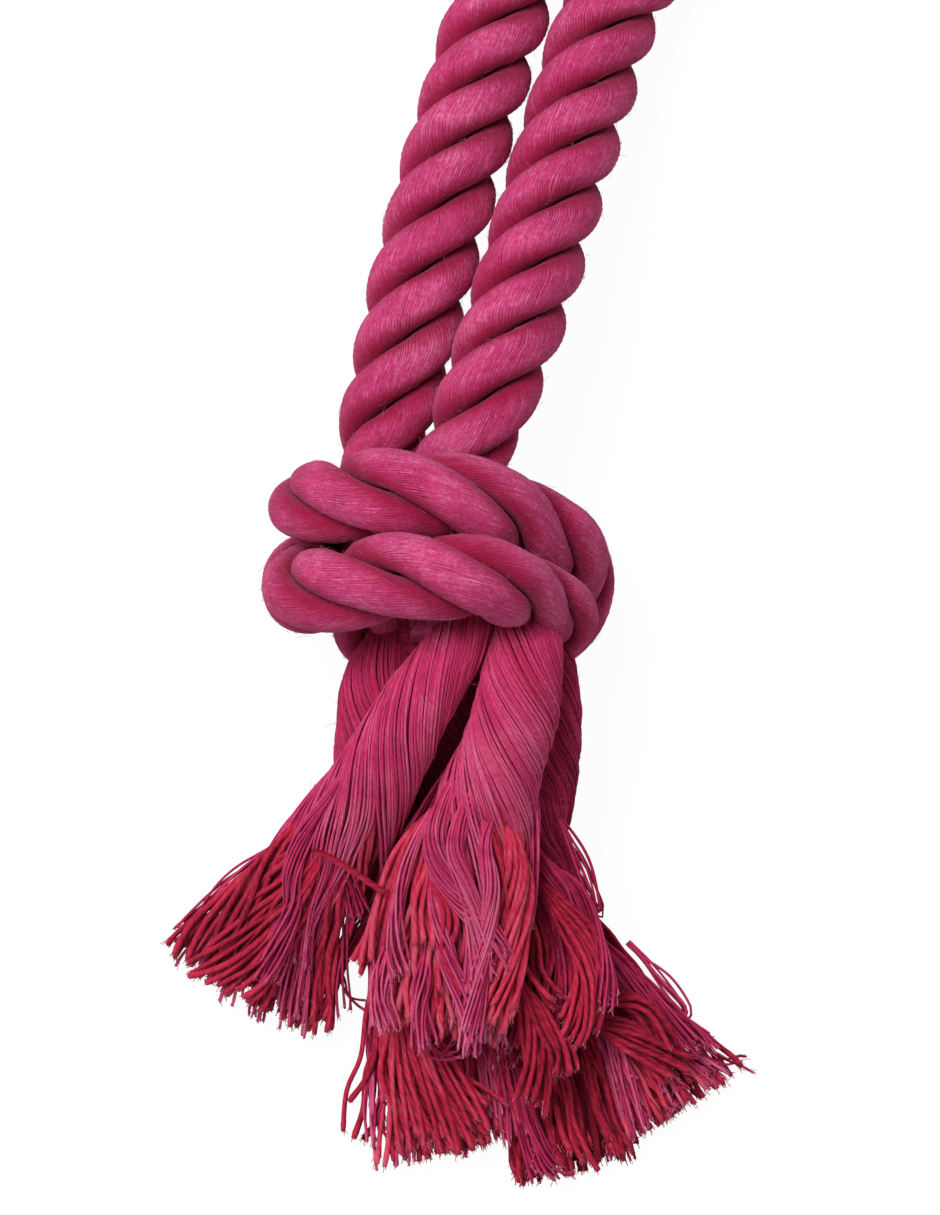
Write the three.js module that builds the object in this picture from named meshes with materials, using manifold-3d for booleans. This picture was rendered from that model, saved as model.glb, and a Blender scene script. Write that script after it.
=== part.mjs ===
// A rope dog toy: one length of three-strand laid cotton rope, doubled over into a hand loop,
// tied in a doubled overhand knot, with its two ends unlaid into six strand tassels.
// Millimetres, +Z up. The toy lies on the floor (z = 0), its loop towards +Y and its tassels
// towards -Y. The routes are lists of shares of the rope's tightened diameter.
import * as THREE from "three";
import { mergeVertices } from "three/addons/utils/BufferGeometryUtils.js";
import Module from "manifold-3d";

// driving dimensions
const ROPE_DIAMETER = 24; // slack rope, over the crowns of its strands
const GAP = 0.3; // clearance between two solids that touch

// the rope drawn tight across the front of the knot: the size that every route below follows
const TIGHT_SHARE = 0.82;
const TIGHT_DIAMETER = TIGHT_SHARE * ROPE_DIAMETER;

// the rope's cross-section: three crowned strands, in shares of its diameter
const STRANDS = 3;
const CROWN_OFFSET_SHARE = 0.26; // centre of a crown from the rope's centre
const CROWN_DEPTH_SHARE = 0.24; // half a crown's size along the radius
const CROWN_WIDTH_SHARE = 0.32; // half a crown's size across the radius
const SEAM_SHARE = 0.011; // half the seam between two strands
const CROWN_STEPS = 6; // facets over a crown

// how the knot is drawn up
const STEP_SHARE = 0.24; // distance between two stations of the rope
const SETTLE_ROUNDS = 240;
const SETTLE_PASSES = 4;
const SMOOTHING_SHARE = 0.1;
const STIFFNESS_SHARE = 0.05;
const HOLD_SHARE = 0.03; // pull back to the route as it was laid
const NEIGHBOUR_SHARE = 1.5; // closer along the rope than this, in diameters, nothing touches
const PUSH_SHARE = 1.6; // how much of all its pushes together a station takes
const FIXED_STATIONS = 2;

// places along the route, from the middle of the knot
const KNOT_HEIGHT_SHARE = 2.05; // above the floor
const KNOT_TOP_SHARE = 1.7; // where the rope leaves the knot
const LOOP_START_SHARE = 7.0; // where its legs part into the hand loop

// what these shares make of the rope
const STEP = STEP_SHARE * TIGHT_DIAMETER;
const KNOT_HEIGHT = KNOT_HEIGHT_SHARE * TIGHT_DIAMETER;
const KNOT_TOP = KNOT_TOP_SHARE * TIGHT_DIAMETER;
const LOOP_START = LOOP_START_SHARE * TIGHT_DIAMETER;

// The rope's route as it was laid: x, y, height over the knot's middle, diameter, and lay: the
// length of one full turn of a strand, which is longer where the knot has opened the rope.
// It starts at the left rope's end under the knot, goes through the knot, up the left leg,
// round the hand loop, down the right leg and through the knot beside itself.
const LEFT_ROPE_SHARES = [
  [-0.05, -0.85, 0.5, 0.72, 3.7],
  [0.1, -0.3, 0.25, 0.72, 3.7],
  [0.2, 0.25, -0.3, 0.72, 3.7],
  [0.0, 0.55, -0.85, 0.72, 3.7],
  [-0.6, 0.65, -1.0, 0.72, 3.7],
  [-1.2, 0.7, -0.7, 0.8, 3.7],
  [-1.5, 0.75, 0.0, 0.9, 3.3],
  [-1.2, 0.88, 0.8, 1.0, 3.3],
  [-0.4, 0.85, 1.1, 1.0, 3.3],
  [0.5, 0.8, 0.85, 1.0, 3.3],
  [1.1, 0.4, 0.35, 0.95, 3.3],
  [1.4, -0.3, -0.15, 0.9, 3.3],
  [1.2, -0.95, -0.9, 0.8, 3.05],
  [0.4, -0.98, -1.6, 0.8, 3.05],
  [-0.65, -1.0, -1.4, 0.8, 3.05],
  [-1.1, -0.6, -0.8, 0.72, 3.05],
  [-0.65, 0.3, -0.4, 0.72, 3.05],
  [-0.55, 1.1, 0.0, 0.95, 2.7],
  [-0.45, 2.0, 0.0, 1.15, 2.32],
  [-0.25, 3.1, -0.1, 1.22, 2.32],
  [0.03, 4.3, -0.3, 1.22, 2.32],
  [0.38, 5.5, -0.65, 1.22, 2.32],
  [0.75, 6.65, -1.05, 1.22, 2.32],
];
const HAND_LOOP_SHARES = [
  [1.05, 8.0, -1.42, 1.22, 2.35],
  [1.0, 9.6, -1.56, 1.22, 2.35],
  [1.35, 11.3, -1.56, 1.22, 2.35],
  [2.5, 12.8, -1.56, 1.22, 2.35],
  [4.2, 13.3, -1.56, 1.22, 2.35],
  [5.6, 12.3, -1.56, 1.22, 2.35],
  [5.7, 10.6, -1.56, 1.22, 2.35],
  [4.6, 9.1, -1.56, 1.22, 2.35],
  [3.1, 8.1, -1.42, 1.22, 2.35],
];
const RIGHT_ROPE_SHARES = [
  [1.98, 6.7, -1.05, 1.22, 2.32],
  [1.63, 5.5, -0.65, 1.22, 2.32],
  [1.27, 4.3, -0.2, 1.22, 2.32],
  [0.9, 3.1, 0.2, 1.22, 2.32],
  [0.5, 2.0, 0.5, 1.15, 2.32],
  [0.15, 1.1, 0.4, 0.95, 2.7],
  [-0.4, 0.3, 0.3, 0.72, 3.0],
  [-0.5, -0.4, -0.2, 0.72, 3.0],
  [-0.1, -0.7, -0.8, 0.72, 3.0],
  [0.45, -0.6, -0.9, 0.72, 3.0],
  [0.85, -0.4, -0.3, 0.72, 3.0],
  [1.05, -0.25, 0.7, 0.8, 3.0],
  [0.8, 0.1, 1.5, 0.95, 3.3],
  [0.2, 0.2, 1.7, 1.0, 3.3],
  [-0.5, 0.0, 1.55, 1.0, 3.3],
  [-1.2, -0.2, 1.2, 1.0, 3.3],
  [-1.65, -0.3, 0.5, 0.95, 3.3],
  [-1.7, -0.2, -0.2, 0.85, 3.3],
  [-1.4, 0.1, -0.9, 0.8, 3.3],
  [-0.9, 0.4, -1.7, 0.8, 3.3],
  [0.0, 0.5, -1.75, 0.8, 3.3],
  [0.65, 0.45, -1.4, 0.72, 3.3],
  [0.75, 0.2, -0.6, 0.72, 3.3],
  [0.65, -0.3, 0.0, 0.72, 3.3],
  [0.75, -0.85, 0.25, 0.72, 3.3],
];
const SAMPLES = 24; // points between two route points, before the even spacing
const TENSION_SHARE = 0.5;

// A table of shares as sizes.
function sized(shares) {
  return shares.map((row) => row.map((share) => share * TIGHT_DIAMETER));
}

// A smooth curve through a list of route points, with the other columns carried along.
function smoothThrough(points) {
  const places = points.map(([x, y, z]) => new THREE.Vector3(x, y, z));
  const curve = new THREE.CatmullRomCurve3(places, false, "catmullrom", TENSION_SHARE);
  const spans = points.length - 1;
  return curve.getPoints(spans * SAMPLES).map((place, i) => {
    const span = Math.min(spans - 1, Math.floor(i / SAMPLES));
    const along = i / SAMPLES - span;
    const extra = points[span].slice(3).map((a, k) => a + (points[span + 1][3 + k] - a) * along);
    return { place, extra };
  });
}

// The same curve with stations at even distances.
function evenly(samples, step) {
  const reach = [0];
  for (let i = 1; i < samples.length; i++)
    reach.push(reach[i - 1] + samples[i].place.distanceTo(samples[i - 1].place));
  const total = reach[reach.length - 1];
  const count = Math.round(total / step);
  const stations = [];
  let at = 0;
  for (let i = 0; i <= count; i++) {
    const target = (total * i) / count;
    while (at < samples.length - 2 && reach[at + 1] < target) at++;
    const share = (target - reach[at]) / (reach[at + 1] - reach[at]);
    const place = samples[at].place.clone().lerp(samples[at + 1].place, share);
    const extra = samples[at].extra.map((a, k) => a + (samples[at + 1].extra[k] - a) * share);
    stations.push({ place, extra });
  }
  return stations;
}

// One round of evening out: each station moves towards its neighbours, and back to its start.
function smooth(path, laid) {
  const pull = path.map((p, i) =>
    i > 0 && i < path.length - 1
      ? new THREE.Vector3().addVectors(path[i - 1], path[i + 1]).addScaledVector(p, -2)
      : new THREE.Vector3(),
  );
  for (let i = FIXED_STATIONS; i < path.length - FIXED_STATIONS; i++) {
    const bend = new THREE.Vector3().addVectors(pull[i - 1], pull[i + 1]).addScaledVector(pull[i], -2);
    path[i].addScaledVector(pull[i], SMOOTHING_SHARE);
    path[i].addScaledVector(bend, -STIFFNESS_SHARE);
    path[i].lerp(laid[i], HOLD_SHARE);
  }
}

// One round of pushing apart the stations that are closer than the rope is thick.
function separate(path, diameters) {
  const push = path.map(() => new THREE.Vector3());
  const touches = path.map(() => 0);
  const away = new THREE.Vector3();
  for (let i = 0; i < path.length; i++)
    for (let j = i + 1; j < path.length; j++) {
      const thick = (diameters[i] + diameters[j]) / 2 + GAP;
      if ((j - i) * STEP <= NEIGHBOUR_SHARE * thick) continue;
      away.subVectors(path[i], path[j]);
      const distance = away.length();
      if (distance >= thick || distance === 0) continue;
      const half = (thick - distance) / 2 / distance;
      push[i].addScaledVector(away, half);
      push[j].addScaledVector(away, -half);
      touches[i]++;
      touches[j]++;
    }
  for (let i = FIXED_STATIONS; i < path.length - FIXED_STATIONS; i++)
    if (touches[i]) path[i].addScaledVector(push[i], Math.min(1, PUSH_SHARE / touches[i]));
}

// The knot as it lies when it is drawn up: no two passes of the rope share any room.
function drawnUp(stations) {
  const laid = stations.map((s) => s.place.clone());
  const path = stations.map((s) => s.place.clone());
  const diameters = stations.map((s) => s.extra[0]);
  for (let round = 0; round < SETTLE_ROUNDS; round++) {
    smooth(path, laid);
    for (let pass = 0; pass < SETTLE_PASSES; pass++) separate(path, diameters);
  }
  for (let pass = 0; pass < SETTLE_ROUNDS; pass++) separate(path, diameters);
  return path.map((place, i) => ({ place, diameter: diameters[i], lay: stations[i].extra[1] }));
}

// The rope's own frame at each station, carried along without spin, and then turned by the lay.
function framed(path) {
  const tangents = path.map((p, i) => {
    const before = path[Math.max(0, i - 1)].place;
    const after = path[Math.min(path.length - 1, i + 1)].place;
    return new THREE.Vector3().subVectors(after, before).normalize();
  });
  const side = new THREE.Vector3(1, 0, 0);
  let turn = 0;
  return path.map((p, i) => {
    side.addScaledVector(tangents[i], -side.dot(tangents[i])).normalize();
    if (i > 0) {
      const step = p.place.distanceTo(path[i - 1].place);
      turn += Math.PI * step * (1 / p.lay + 1 / path[i - 1].lay);
    }
    const up = new THREE.Vector3().crossVectors(tangents[i], side);
    return { ...p, side: side.clone(), up, tangent: tangents[i], turn };
  });
}

// The crown of a strand in polar form: how far the rope's surface is from its centre.
function crownReach(angle) {
  const c = Math.cos(angle) / CROWN_DEPTH_SHARE;
  const s = Math.sin(angle) / CROWN_WIDTH_SHARE;
  const offset = CROWN_OFFSET_SHARE / CROWN_DEPTH_SHARE;
  const a = c * c + s * s;
  return (offset * c + Math.sqrt(offset * offset * c * c - a * (offset * offset - 1))) / a;
}

// One strand's section in shares of the rope's diameter: a third of the rope, from its heart
// out to its crown.
function strandSection() {
  const half = Math.PI / STRANDS;
  const points = [[SEAM_SHARE / Math.sin(half), 0]];
  for (let i = 0; i <= CROWN_STEPS; i++) {
    const angle = half * ((2 * i) / CROWN_STEPS - 1);
    const reach = crownReach(angle);
    const onSeam = i === 0 || i === CROWN_STEPS;
    const sign = i === 0 ? -1 : 1;
    // the two edge points step back from the seam, square to it
    const back = onSeam ? SEAM_SHARE : 0;
    points.push([
      reach * Math.cos(angle) + back * Math.sin(half),
      reach * Math.sin(angle) - sign * back * Math.cos(half),
    ]);
  }
  return points;
}

// A closed solid through rings with the same number of points, counted anticlockwise as seen
// from ahead. Each face is split from its inner corner to the outer corner of the next ring,
// so that two strands that twist side by side keep their seam.
function loft(rings, inner) {
  const count = rings[0].length;
  const positions = rings.flat().flatMap((p) => [p.x, p.y, p.z]);
  const index = [];
  for (let r = 0; r < rings.length - 1; r++)
    for (let i = 0; i < count; i++) {
      const j = (i + 1) % count;
      const [a, b, c, d] = [r * count + i, r * count + j, (r + 1) * count + j, (r + 1) * count + i];
      if (inner[i] <= inner[j]) index.push(a, b, c, a, c, d);
      else index.push(a, b, d, b, c, d);
    }
  const last = (rings.length - 1) * count;
  const middle = rings.length * count;
  for (let i = 0; i < count; i++) {
    const j = (i + 1) % count;
    index.push(middle, j, i);
    index.push(middle + 1, last + i, last + j);
  }
  for (const ring of [rings[0], rings[rings.length - 1]]) {
    const sum = ring.reduce((total, p) => total.add(p), new THREE.Vector3());
    positions.push(...sum.divideScalar(count).toArray());
  }
  const geometry = new THREE.BufferGeometry();
  geometry.setAttribute("position", new THREE.Float32BufferAttribute(positions, 3));
  geometry.setIndex(index);
  return geometry;
}

// A strand's solid between two stations of the rope, with half the gap left at each end.
function strandSolid(stations, strand) {
  const section = strandSection();
  const inner = section.map(([x, y]) => Math.hypot(x, y));
  const rings = stations.map((s, i) => {
    const turn = s.turn + (2 * Math.PI * strand) / STRANDS;
    const centre = s.place.clone();
    if (i === 0) centre.addScaledVector(s.tangent, GAP / 2);
    if (i === stations.length - 1) centre.addScaledVector(s.tangent, -GAP / 2);
    return section.map(([x, y]) => {
      const across = (x * Math.cos(turn) - y * Math.sin(turn)) * s.diameter;
      const upward = (x * Math.sin(turn) + y * Math.cos(turn)) * s.diameter;
      const p = centre.clone().addScaledVector(s.side, across).addScaledVector(s.up, upward);
      return p.add(new THREE.Vector3(0, 0, KNOT_HEIGHT));
    });
  });
  return loft(rings, inner);
}

// A tassel's section: a bundle of yarns, gathered into a few fat locks.
const LOCKS = 7;
const POINTS_PER_LOCK = 2;
const LOCK_LAY_SHARE = 5.7; // one full turn of the locks round the bundle, in diameters of the rope
const LOCK_DEPTH_SHARES = [0.04, 0.12]; // at the knot and at the cut end, of the radius
const TASSEL_STEP_SHARE = 0.42; // distance between two rings
const START_WIDTH_SHARE = 0.3; // at the end of its strand

// Where the tassels lie, from the middle of the knot: x, y, height over the floor, width and
// thickness of the bundle. Each starts at the end of its own strand.
const TASSELS = [
  {
    name: "tassel_front_left",
    rope: "left",
    strand: 2,
    shares: [
      [-0.1, -1.2, 2.8, 0.76, 0.65],
      [-0.36, -1.7, 2.72, 0.86, 0.75],
      [-0.8, -2.6, 2.15, 1.05, 0.8],
      [-1.24, -3.35, 1.55, 1.3, 0.75],
      [-1.75, -4.1, 0.85, 1.8, 0.7],
      [-2.22, -4.95, 0.27, 2.35, 0.65],
    ],
  },
  {
    name: "tassel_front_middle",
    rope: "right",
    strand: 0,
    shares: [
      [0.92, -1.2, 2.72, 0.85, 0.7],
      [0.86, -1.7, 2.75, 1.0, 0.8],
      [0.68, -2.2, 2.5, 1.0, 0.8],
      [0.48, -2.8, 2.22, 1.2, 0.8],
      [0.26, -3.6, 1.85, 1.45, 0.75],
      [-0.02, -4.7, 1.32, 1.65, 0.75],
      [-0.1, -5.55, 1.15, 1.8, 0.65],
    ],
  },
  {
    name: "tassel_back_left",
    rope: "left",
    strand: 1,
    shares: [
      [-0.7, -1.45, 1.95, 0.75, 0.6],
      [-0.78, -2.0, 1.68, 0.8, 0.6],
      [-0.76, -2.7, 1.2, 0.85, 0.65],
      [-0.6, -3.8, 0.6, 1.0, 0.65],
      [-0.3, -4.8, 0.42, 1.2, 0.65],
      [-0.1, -5.8, 0.3, 1.6, 0.6],
      [-0.03, -6.65, 0.25, 1.85, 0.6],
    ],
  },
  {
    name: "tassel_middle_right",
    rope: "right",
    strand: 2,
    shares: [
      [1.3, -1.6, 2.02, 0.62, 0.58],
      [1.22, -2.4, 1.62, 0.72, 0.6],
      [1.1, -3.1, 1.3, 0.8, 0.6],
      [1.22, -3.9, 1.1, 0.95, 0.6],
      [1.33, -4.7, 1.0, 1.1, 0.6],
      [1.3, -5.75, 0.92, 1.1, 0.6],
    ],
  },
  {
    name: "tassel_back_right",
    rope: "right",
    strand: 1,
    shares: [
      [0.93, -1.9, 1.2, 0.65, 0.6],
      [1.25, -2.8, 0.65, 0.8, 0.6],
      [1.57, -3.6, 0.42, 0.9, 0.6],
      [1.98, -4.35, 0.38, 1.1, 0.6],
      [2.42, -5.2, 0.31, 1.3, 0.6],
      [2.9, -6.2, 0.25, 1.5, 0.6],
    ],
  },
  {
    name: "tassel_back_middle",
    rope: "left",
    strand: 0,
    shares: [
      [0.2, -1.3, 2.05, 0.5, 0.45],
      [0.3, -1.9, 1.45, 0.65, 0.6],
      [0.35, -2.9, 0.8, 0.75, 0.6],
      [0.65, -3.9, 0.45, 0.85, 0.6],
      [1.05, -4.95, 0.38, 1.0, 0.6],
      [1.42, -6.1, 0.29, 1.2, 0.6],
      [1.66, -7.05, 0.25, 1.5, 0.6],
    ],
  },
];

// The middle of a strand at a station of the rope.
function strandCentre(station, strand) {
  const turn = station.turn + (2 * Math.PI * strand) / STRANDS;
  const out = CROWN_OFFSET_SHARE * station.diameter;
  const centre = station.place.clone().add(new THREE.Vector3(0, 0, KNOT_HEIGHT));
  centre.addScaledVector(station.side, out * Math.cos(turn));
  return centre.addScaledVector(station.up, out * Math.sin(turn));
}

// A tassel's solid, from its strand's end out to the cut ends of its yarns.
function tasselSolid(tassel, ends) {
  const { station, outward } = ends[tassel.rope];
  const startWidth = START_WIDTH_SHARE * TIGHT_DIAMETER;
  const step = TASSEL_STEP_SHARE * TIGHT_DIAMETER;
  const lockLay = LOCK_LAY_SHARE * ROPE_DIAMETER;
  const start = strandCentre(station, tassel.strand).addScaledVector(outward, GAP);
  const lead = start.clone().addScaledVector(outward, startWidth / 2);
  const listed = [
    [...start.toArray(), startWidth, startWidth],
    [...lead.toArray(), startWidth, startWidth],
    ...sized(tassel.shares),
  ];
  const stations = evenly(smoothThrough(listed), step);
  const count = LOCKS * POINTS_PER_LOCK;
  const floorward = new THREE.Vector3(0, 0, 1);
  const rings = stations.map(({ place, extra: [width, thickness] }, i) => {
    const share = i / (stations.length - 1);
    const before = stations[Math.max(0, i - 1)].place;
    const after = stations[Math.min(stations.length - 1, i + 1)].place;
    const along = i ? new THREE.Vector3().subVectors(after, before).normalize() : outward;
    const across = new THREE.Vector3().crossVectors(along, floorward).normalize();
    const upward = new THREE.Vector3().crossVectors(across, along);
    const [atKnot, atCut] = LOCK_DEPTH_SHARES;
    const depth = atKnot + (atCut - atKnot) * share;
    return Array.from({ length: count }, (unused, k) => {
      const angle = 2 * Math.PI * (k / count - (i * step) / lockLay);
      const crown = 1 - (k % POINTS_PER_LOCK) * depth;
      const p = place.clone().addScaledVector(across, -(crown * width * Math.cos(angle)) / 2);
      return p.addScaledVector(upward, (crown * thickness * Math.sin(angle)) / 2);
    });
  });
  return loft(rings, new Array(count).fill(0));
}

const wasm = await Module();
wasm.setup();

// A closed geometry as a solid that can be cut.
function solidFrom(geometry) {
  return new wasm.Manifold(
    new wasm.Mesh({
      numProp: 3,
      vertProperties: new Float32Array(geometry.attributes.position.array),
      triVerts: new Uint32Array(geometry.index.array),
    }),
  );
}

// A cut solid as a geometry again.
function geometryFrom(solid) {
  const mesh = solid.getMesh();
  const geometry = new THREE.BufferGeometry();
  geometry.setAttribute("position", new THREE.Float32BufferAttribute(mesh.vertProperties, 3));
  geometry.setIndex(new THREE.BufferAttribute(new Uint32Array(mesh.triVerts), 1));
  geometry.computeVertexNormals();
  return geometry;
}

// The room over the floor: whatever would lie lower is pressed flat against it.
const ROOM_SHARE = 60; // wider than the toy is long

function roomOverFloor() {
  const room = ROOM_SHARE * TIGHT_DIAMETER;
  const box = new THREE.BoxGeometry(room, room, room);
  box.translate(0, 0, room / 2);
  box.deleteAttribute("normal");
  box.deleteAttribute("uv");
  return solidFrom(mergeVertices(box));
}

// Dyed cotton: the laid strands and their cut ends, where the redder core yarns show.
const DYED_COTTON = { color: "#a23c66", roughness: 0.95, metalness: 0 };
const CUT_ENDS = { color: "#97344f", roughness: 0.95, metalness: 0 };

// The stretches into which the rope is divided, from its left end to its right end.
const STRETCHES = ["left_knot", "left_leg", "loop", "right_leg", "right_knot"];

// The stations at which the rope crosses those two heights, with both its ends.
function divisions(stations) {
  const marks = [0];
  for (let i = 1; i < stations.length; i++)
    for (const mark of [KNOT_TOP, LOOP_START])
      if ((stations[i - 1].place.y - mark) * (stations[i].place.y - mark) < 0) marks.push(i);
  return [...marks, stations.length - 1];
}

function meshOf(name, geometry, look, room) {
  const pressed = geometryFrom(solidFrom(geometry).intersect(room));
  const mesh = new THREE.Mesh(pressed, new THREE.MeshStandardMaterial(look));
  mesh.name = name;
  return mesh;
}

function ropeToy() {
  const toy = new THREE.Group();
  const room = roomOverFloor();
  const route = sized([...LEFT_ROPE_SHARES, ...HAND_LOOP_SHARES, ...RIGHT_ROPE_SHARES]);
  const stations = framed(drawnUp(evenly(smoothThrough(route), STEP)));
  const marks = divisions(stations);
  STRETCHES.forEach((stretch, i) => {
    for (let strand = 0; strand < STRANDS; strand++) {
      const solid = strandSolid(stations.slice(marks[i], marks[i + 1] + 1), strand);
      toy.add(meshOf(`${stretch}_strand_${strand + 1}`, solid, DYED_COTTON, room));
    }
  });
  const first = stations[0];
  const last = stations[stations.length - 1];
  const ends = {
    left: { station: first, outward: first.tangent.clone().negate() },
    right: { station: last, outward: last.tangent.clone() },
  };
  for (const tassel of TASSELS) toy.add(meshOf(tassel.name, tasselSolid(tassel, ends), CUT_ENDS, room));
  return toy;
}

// The origin is on the floor, under the middle of the toy's box.
const toy = ropeToy();
const middle = new THREE.Box3().setFromObject(toy).getCenter(new THREE.Vector3());
for (const mesh of toy.children) mesh.position.set(-middle.x, -middle.y, 0);

export default toy;
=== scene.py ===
"""Looks of the rope dog toy: laid cotton rope in a doubled overhand knot, with frayed tassels.

Metres, +Z up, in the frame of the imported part. The camera looks straight down on the toy, as
the photograph does, with the hand loop towards the top of the picture.
"""

import functools
import math

import bpy
import mathutils
import numpy as np
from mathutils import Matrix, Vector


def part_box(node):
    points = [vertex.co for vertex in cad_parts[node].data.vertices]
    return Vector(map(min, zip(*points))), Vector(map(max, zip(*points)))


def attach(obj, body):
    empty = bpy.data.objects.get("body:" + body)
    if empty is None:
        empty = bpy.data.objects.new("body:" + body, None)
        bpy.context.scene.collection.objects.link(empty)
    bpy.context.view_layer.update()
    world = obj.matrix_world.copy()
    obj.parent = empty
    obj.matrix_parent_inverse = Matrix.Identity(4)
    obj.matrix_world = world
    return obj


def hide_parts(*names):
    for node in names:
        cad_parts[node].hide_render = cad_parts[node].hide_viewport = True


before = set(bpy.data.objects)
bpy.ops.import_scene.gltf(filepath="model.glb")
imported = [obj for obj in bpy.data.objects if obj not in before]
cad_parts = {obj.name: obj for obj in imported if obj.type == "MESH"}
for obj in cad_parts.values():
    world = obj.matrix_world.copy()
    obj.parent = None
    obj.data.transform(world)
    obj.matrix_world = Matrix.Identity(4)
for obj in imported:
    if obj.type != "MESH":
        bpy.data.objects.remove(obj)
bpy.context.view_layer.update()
random = np.random.default_rng(11)

# The rope's sizes and shares, the same as in the part's source.
MM = 0.001
ROPE_DIAMETER = 24 * MM
TIGHT_SHARE = 0.82
TIGHT_DIAMETER = TIGHT_SHARE * ROPE_DIAMETER
GAP = 0.3 * MM
STRANDS = 3
CROWN_OFFSET_SHARE = 0.26
CROWN_DEPTH_SHARE = 0.24
CROWN_WIDTH_SHARE = 0.32
STEP_SHARE = 0.24
STEP = STEP_SHARE * TIGHT_DIAMETER
SETTLE_ROUNDS = 240
SETTLE_PASSES = 4
SMOOTHING_SHARE = 0.1
STIFFNESS_SHARE = 0.05
HOLD_SHARE = 0.03
NEIGHBOUR_SHARE = 1.5
PUSH_SHARE = 1.6
FIXED_STATIONS = 2
KNOT_HEIGHT_SHARE = 2.05
KNOT_HEIGHT = KNOT_HEIGHT_SHARE * TIGHT_DIAMETER
LOOP_START_SHARE = 7.0
START_WIDTH_SHARE = 0.3
SAMPLES = 24
STRETCHES = ("left_knot", "left_leg", "loop", "right_leg", "right_knot")

# The view: the height of the photograph's frame at the knot's middle, how far over it the
# camera is, and where it aims from there, in shares of the tightened diameter.
FRAME_HEIGHT = 278.04 * MM
CAMERA_DISTANCE = 2.4
CAMERA_AIM_SHARES = [0.349, -0.413]
SENSOR = 36

# The laid rope as it is seen, finer than its solids.
LOBE_WIDTH_SHARE = 0.298  # a strand's own width: its yarns fall away into the grooves
SEAM_SHARE = 0.006
SOFTNESS = 8  # the higher, the sharper the edge between a strand's crown and its walls
FINE_SAMPLES = 3
STRAND_CORNERS = 44
FRONT_CORNERS = 36
FRONT_ANGLE = math.radians(120)
KNOT_DIAMETER_SHARES = [1.05, 1.2]  # rope in the knot is thinner than the first of them
PRESS_SHARE = 1.04  # how much wider rope in the knot is pressed
LAY_SHARES = [2.35, 3.3]  # slack rope's lay, and where the knot has opened it
YARN_BACK_TWISTS = [0.85, 0.5]  # the same
YARNS_ROUND = 60
# Round a strand, where it turns in towards the others: painted shade in the grooves between strands,
# its colour mixed towards the deep tone.
CREVICE_SHADE_ANGLES = np.radians([42, 86])
LUMPS = [(0.018, 29 * MM), (0.014, 17 * MM)]  # share of the size, and length along the strand

# Yarns of a tassel: fine cover yarns in two layers round a core of thick ones. The radii are
# shares of the bundle's.
COVER_YARNS = 124
OUTER_YARNS = 82
COVER_RADII = [0.97, 0.86]
COVER_DIAMETER = 0.68 * MM
COVER_LOCKS = 6
CORE_YARNS = 104
CORE_RADIUS = 0.88
CORE_DIAMETER = 1.36 * MM
CORE_LOCKS = 5
GOLDEN_ANGLE = math.pi * (3 - math.sqrt(5))
PACKING = 0.56  # a lock's radius for one yarn, in yarn diameters: it grows with their root
YARN_STEP = 2.0 * MM
OPENING = [-0.1, 0.25]  # round opens_at, in shares of the tassel's length
LOOSENING = [0.75, 1.0]  # where the yarns part at their ends, in the same shares
LOCK_SPIN = 2.6
FRAY = 0.06
SPRING_LENGTHS = [20 * MM, 45 * MM]
CRIMP_LENGTHS = [8 * MM, 15 * MM]
YARN_SHADE = 0.2  # painted shade: how much paler a yarn is painted on its outward side than where it turns in

# Loose yarns and fibres.
LOOSE_STEP = 1.5 * MM
LOOSE_TWIST = 14 * MM  # along a lock, for one radian of twist
LOOSE_CUT = 0.12  # the most that a lock's yarns are cut short, in shares of its length
LOOSE_CLOSE, LOOSE_OPEN = 0.15, 0.45  # a lock's width at its start, and the share where it is open
LOOSE_FLARE = 0.5  # how much wider it is at its end
LOOSE_OVAL = [1.25, 0.75]  # across and upward
LOOSE_WANDER = [0.22 * MM, 0.11 * MM]  # the same
ROPE_FIBRES = 6000
TASSEL_FIBRES = 3600
FIBRE_DIAMETER = 0.065 * MM
FIBRE_LENGTHS = [1.0 * MM, 4.0 * MM]
FIBRE_CURL = 0.25  # of its length
ROPE_LIFT, TASSEL_LIFT = 0.24 * MM, 0.25 * MM  # how far a fibre stands off, at the mean
ROPE_BEND, TASSEL_BEND = 6.5 * MM, 6 * MM  # the radius of what a fibre lies on
FLOOR_CLEARANCE = 0.05 * MM
TUFT_FIBRES = [3, 8]  # at the cut end of a cover yarn and of a core yarn
TUFT_DIAMETER = 0.2 * MM
TUFT_START = 1.2 * MM  # before the yarn's end
TUFT_LENGTHS = [1.0 * MM, 1.75 * MM]
TUFT_SPREAD = 0.13  # how far its fibres lean out of the yarn's own way
TUFT_BEND = 0.3 * MM  # at a fibre's tip
TUFT_WIDTH = 0.27  # how far from the yarn's middle they start, in its diameters

# The light: one soft lamp at the upper left, as in the photograph, and an even room.
LAMP_PLACE = [-0.5, 0.45, 1.35]
LAMP_SIZE = 0.9
LAMP_POWER = 20
ROOM_LIGHT = 0.32
FLOOR_HALF = 4.0
FLOOR_SHADOW = 0.07  # of the white that the camera sees, the part that a shadow takes away
FLOOR_GLOW = 0.96

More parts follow.
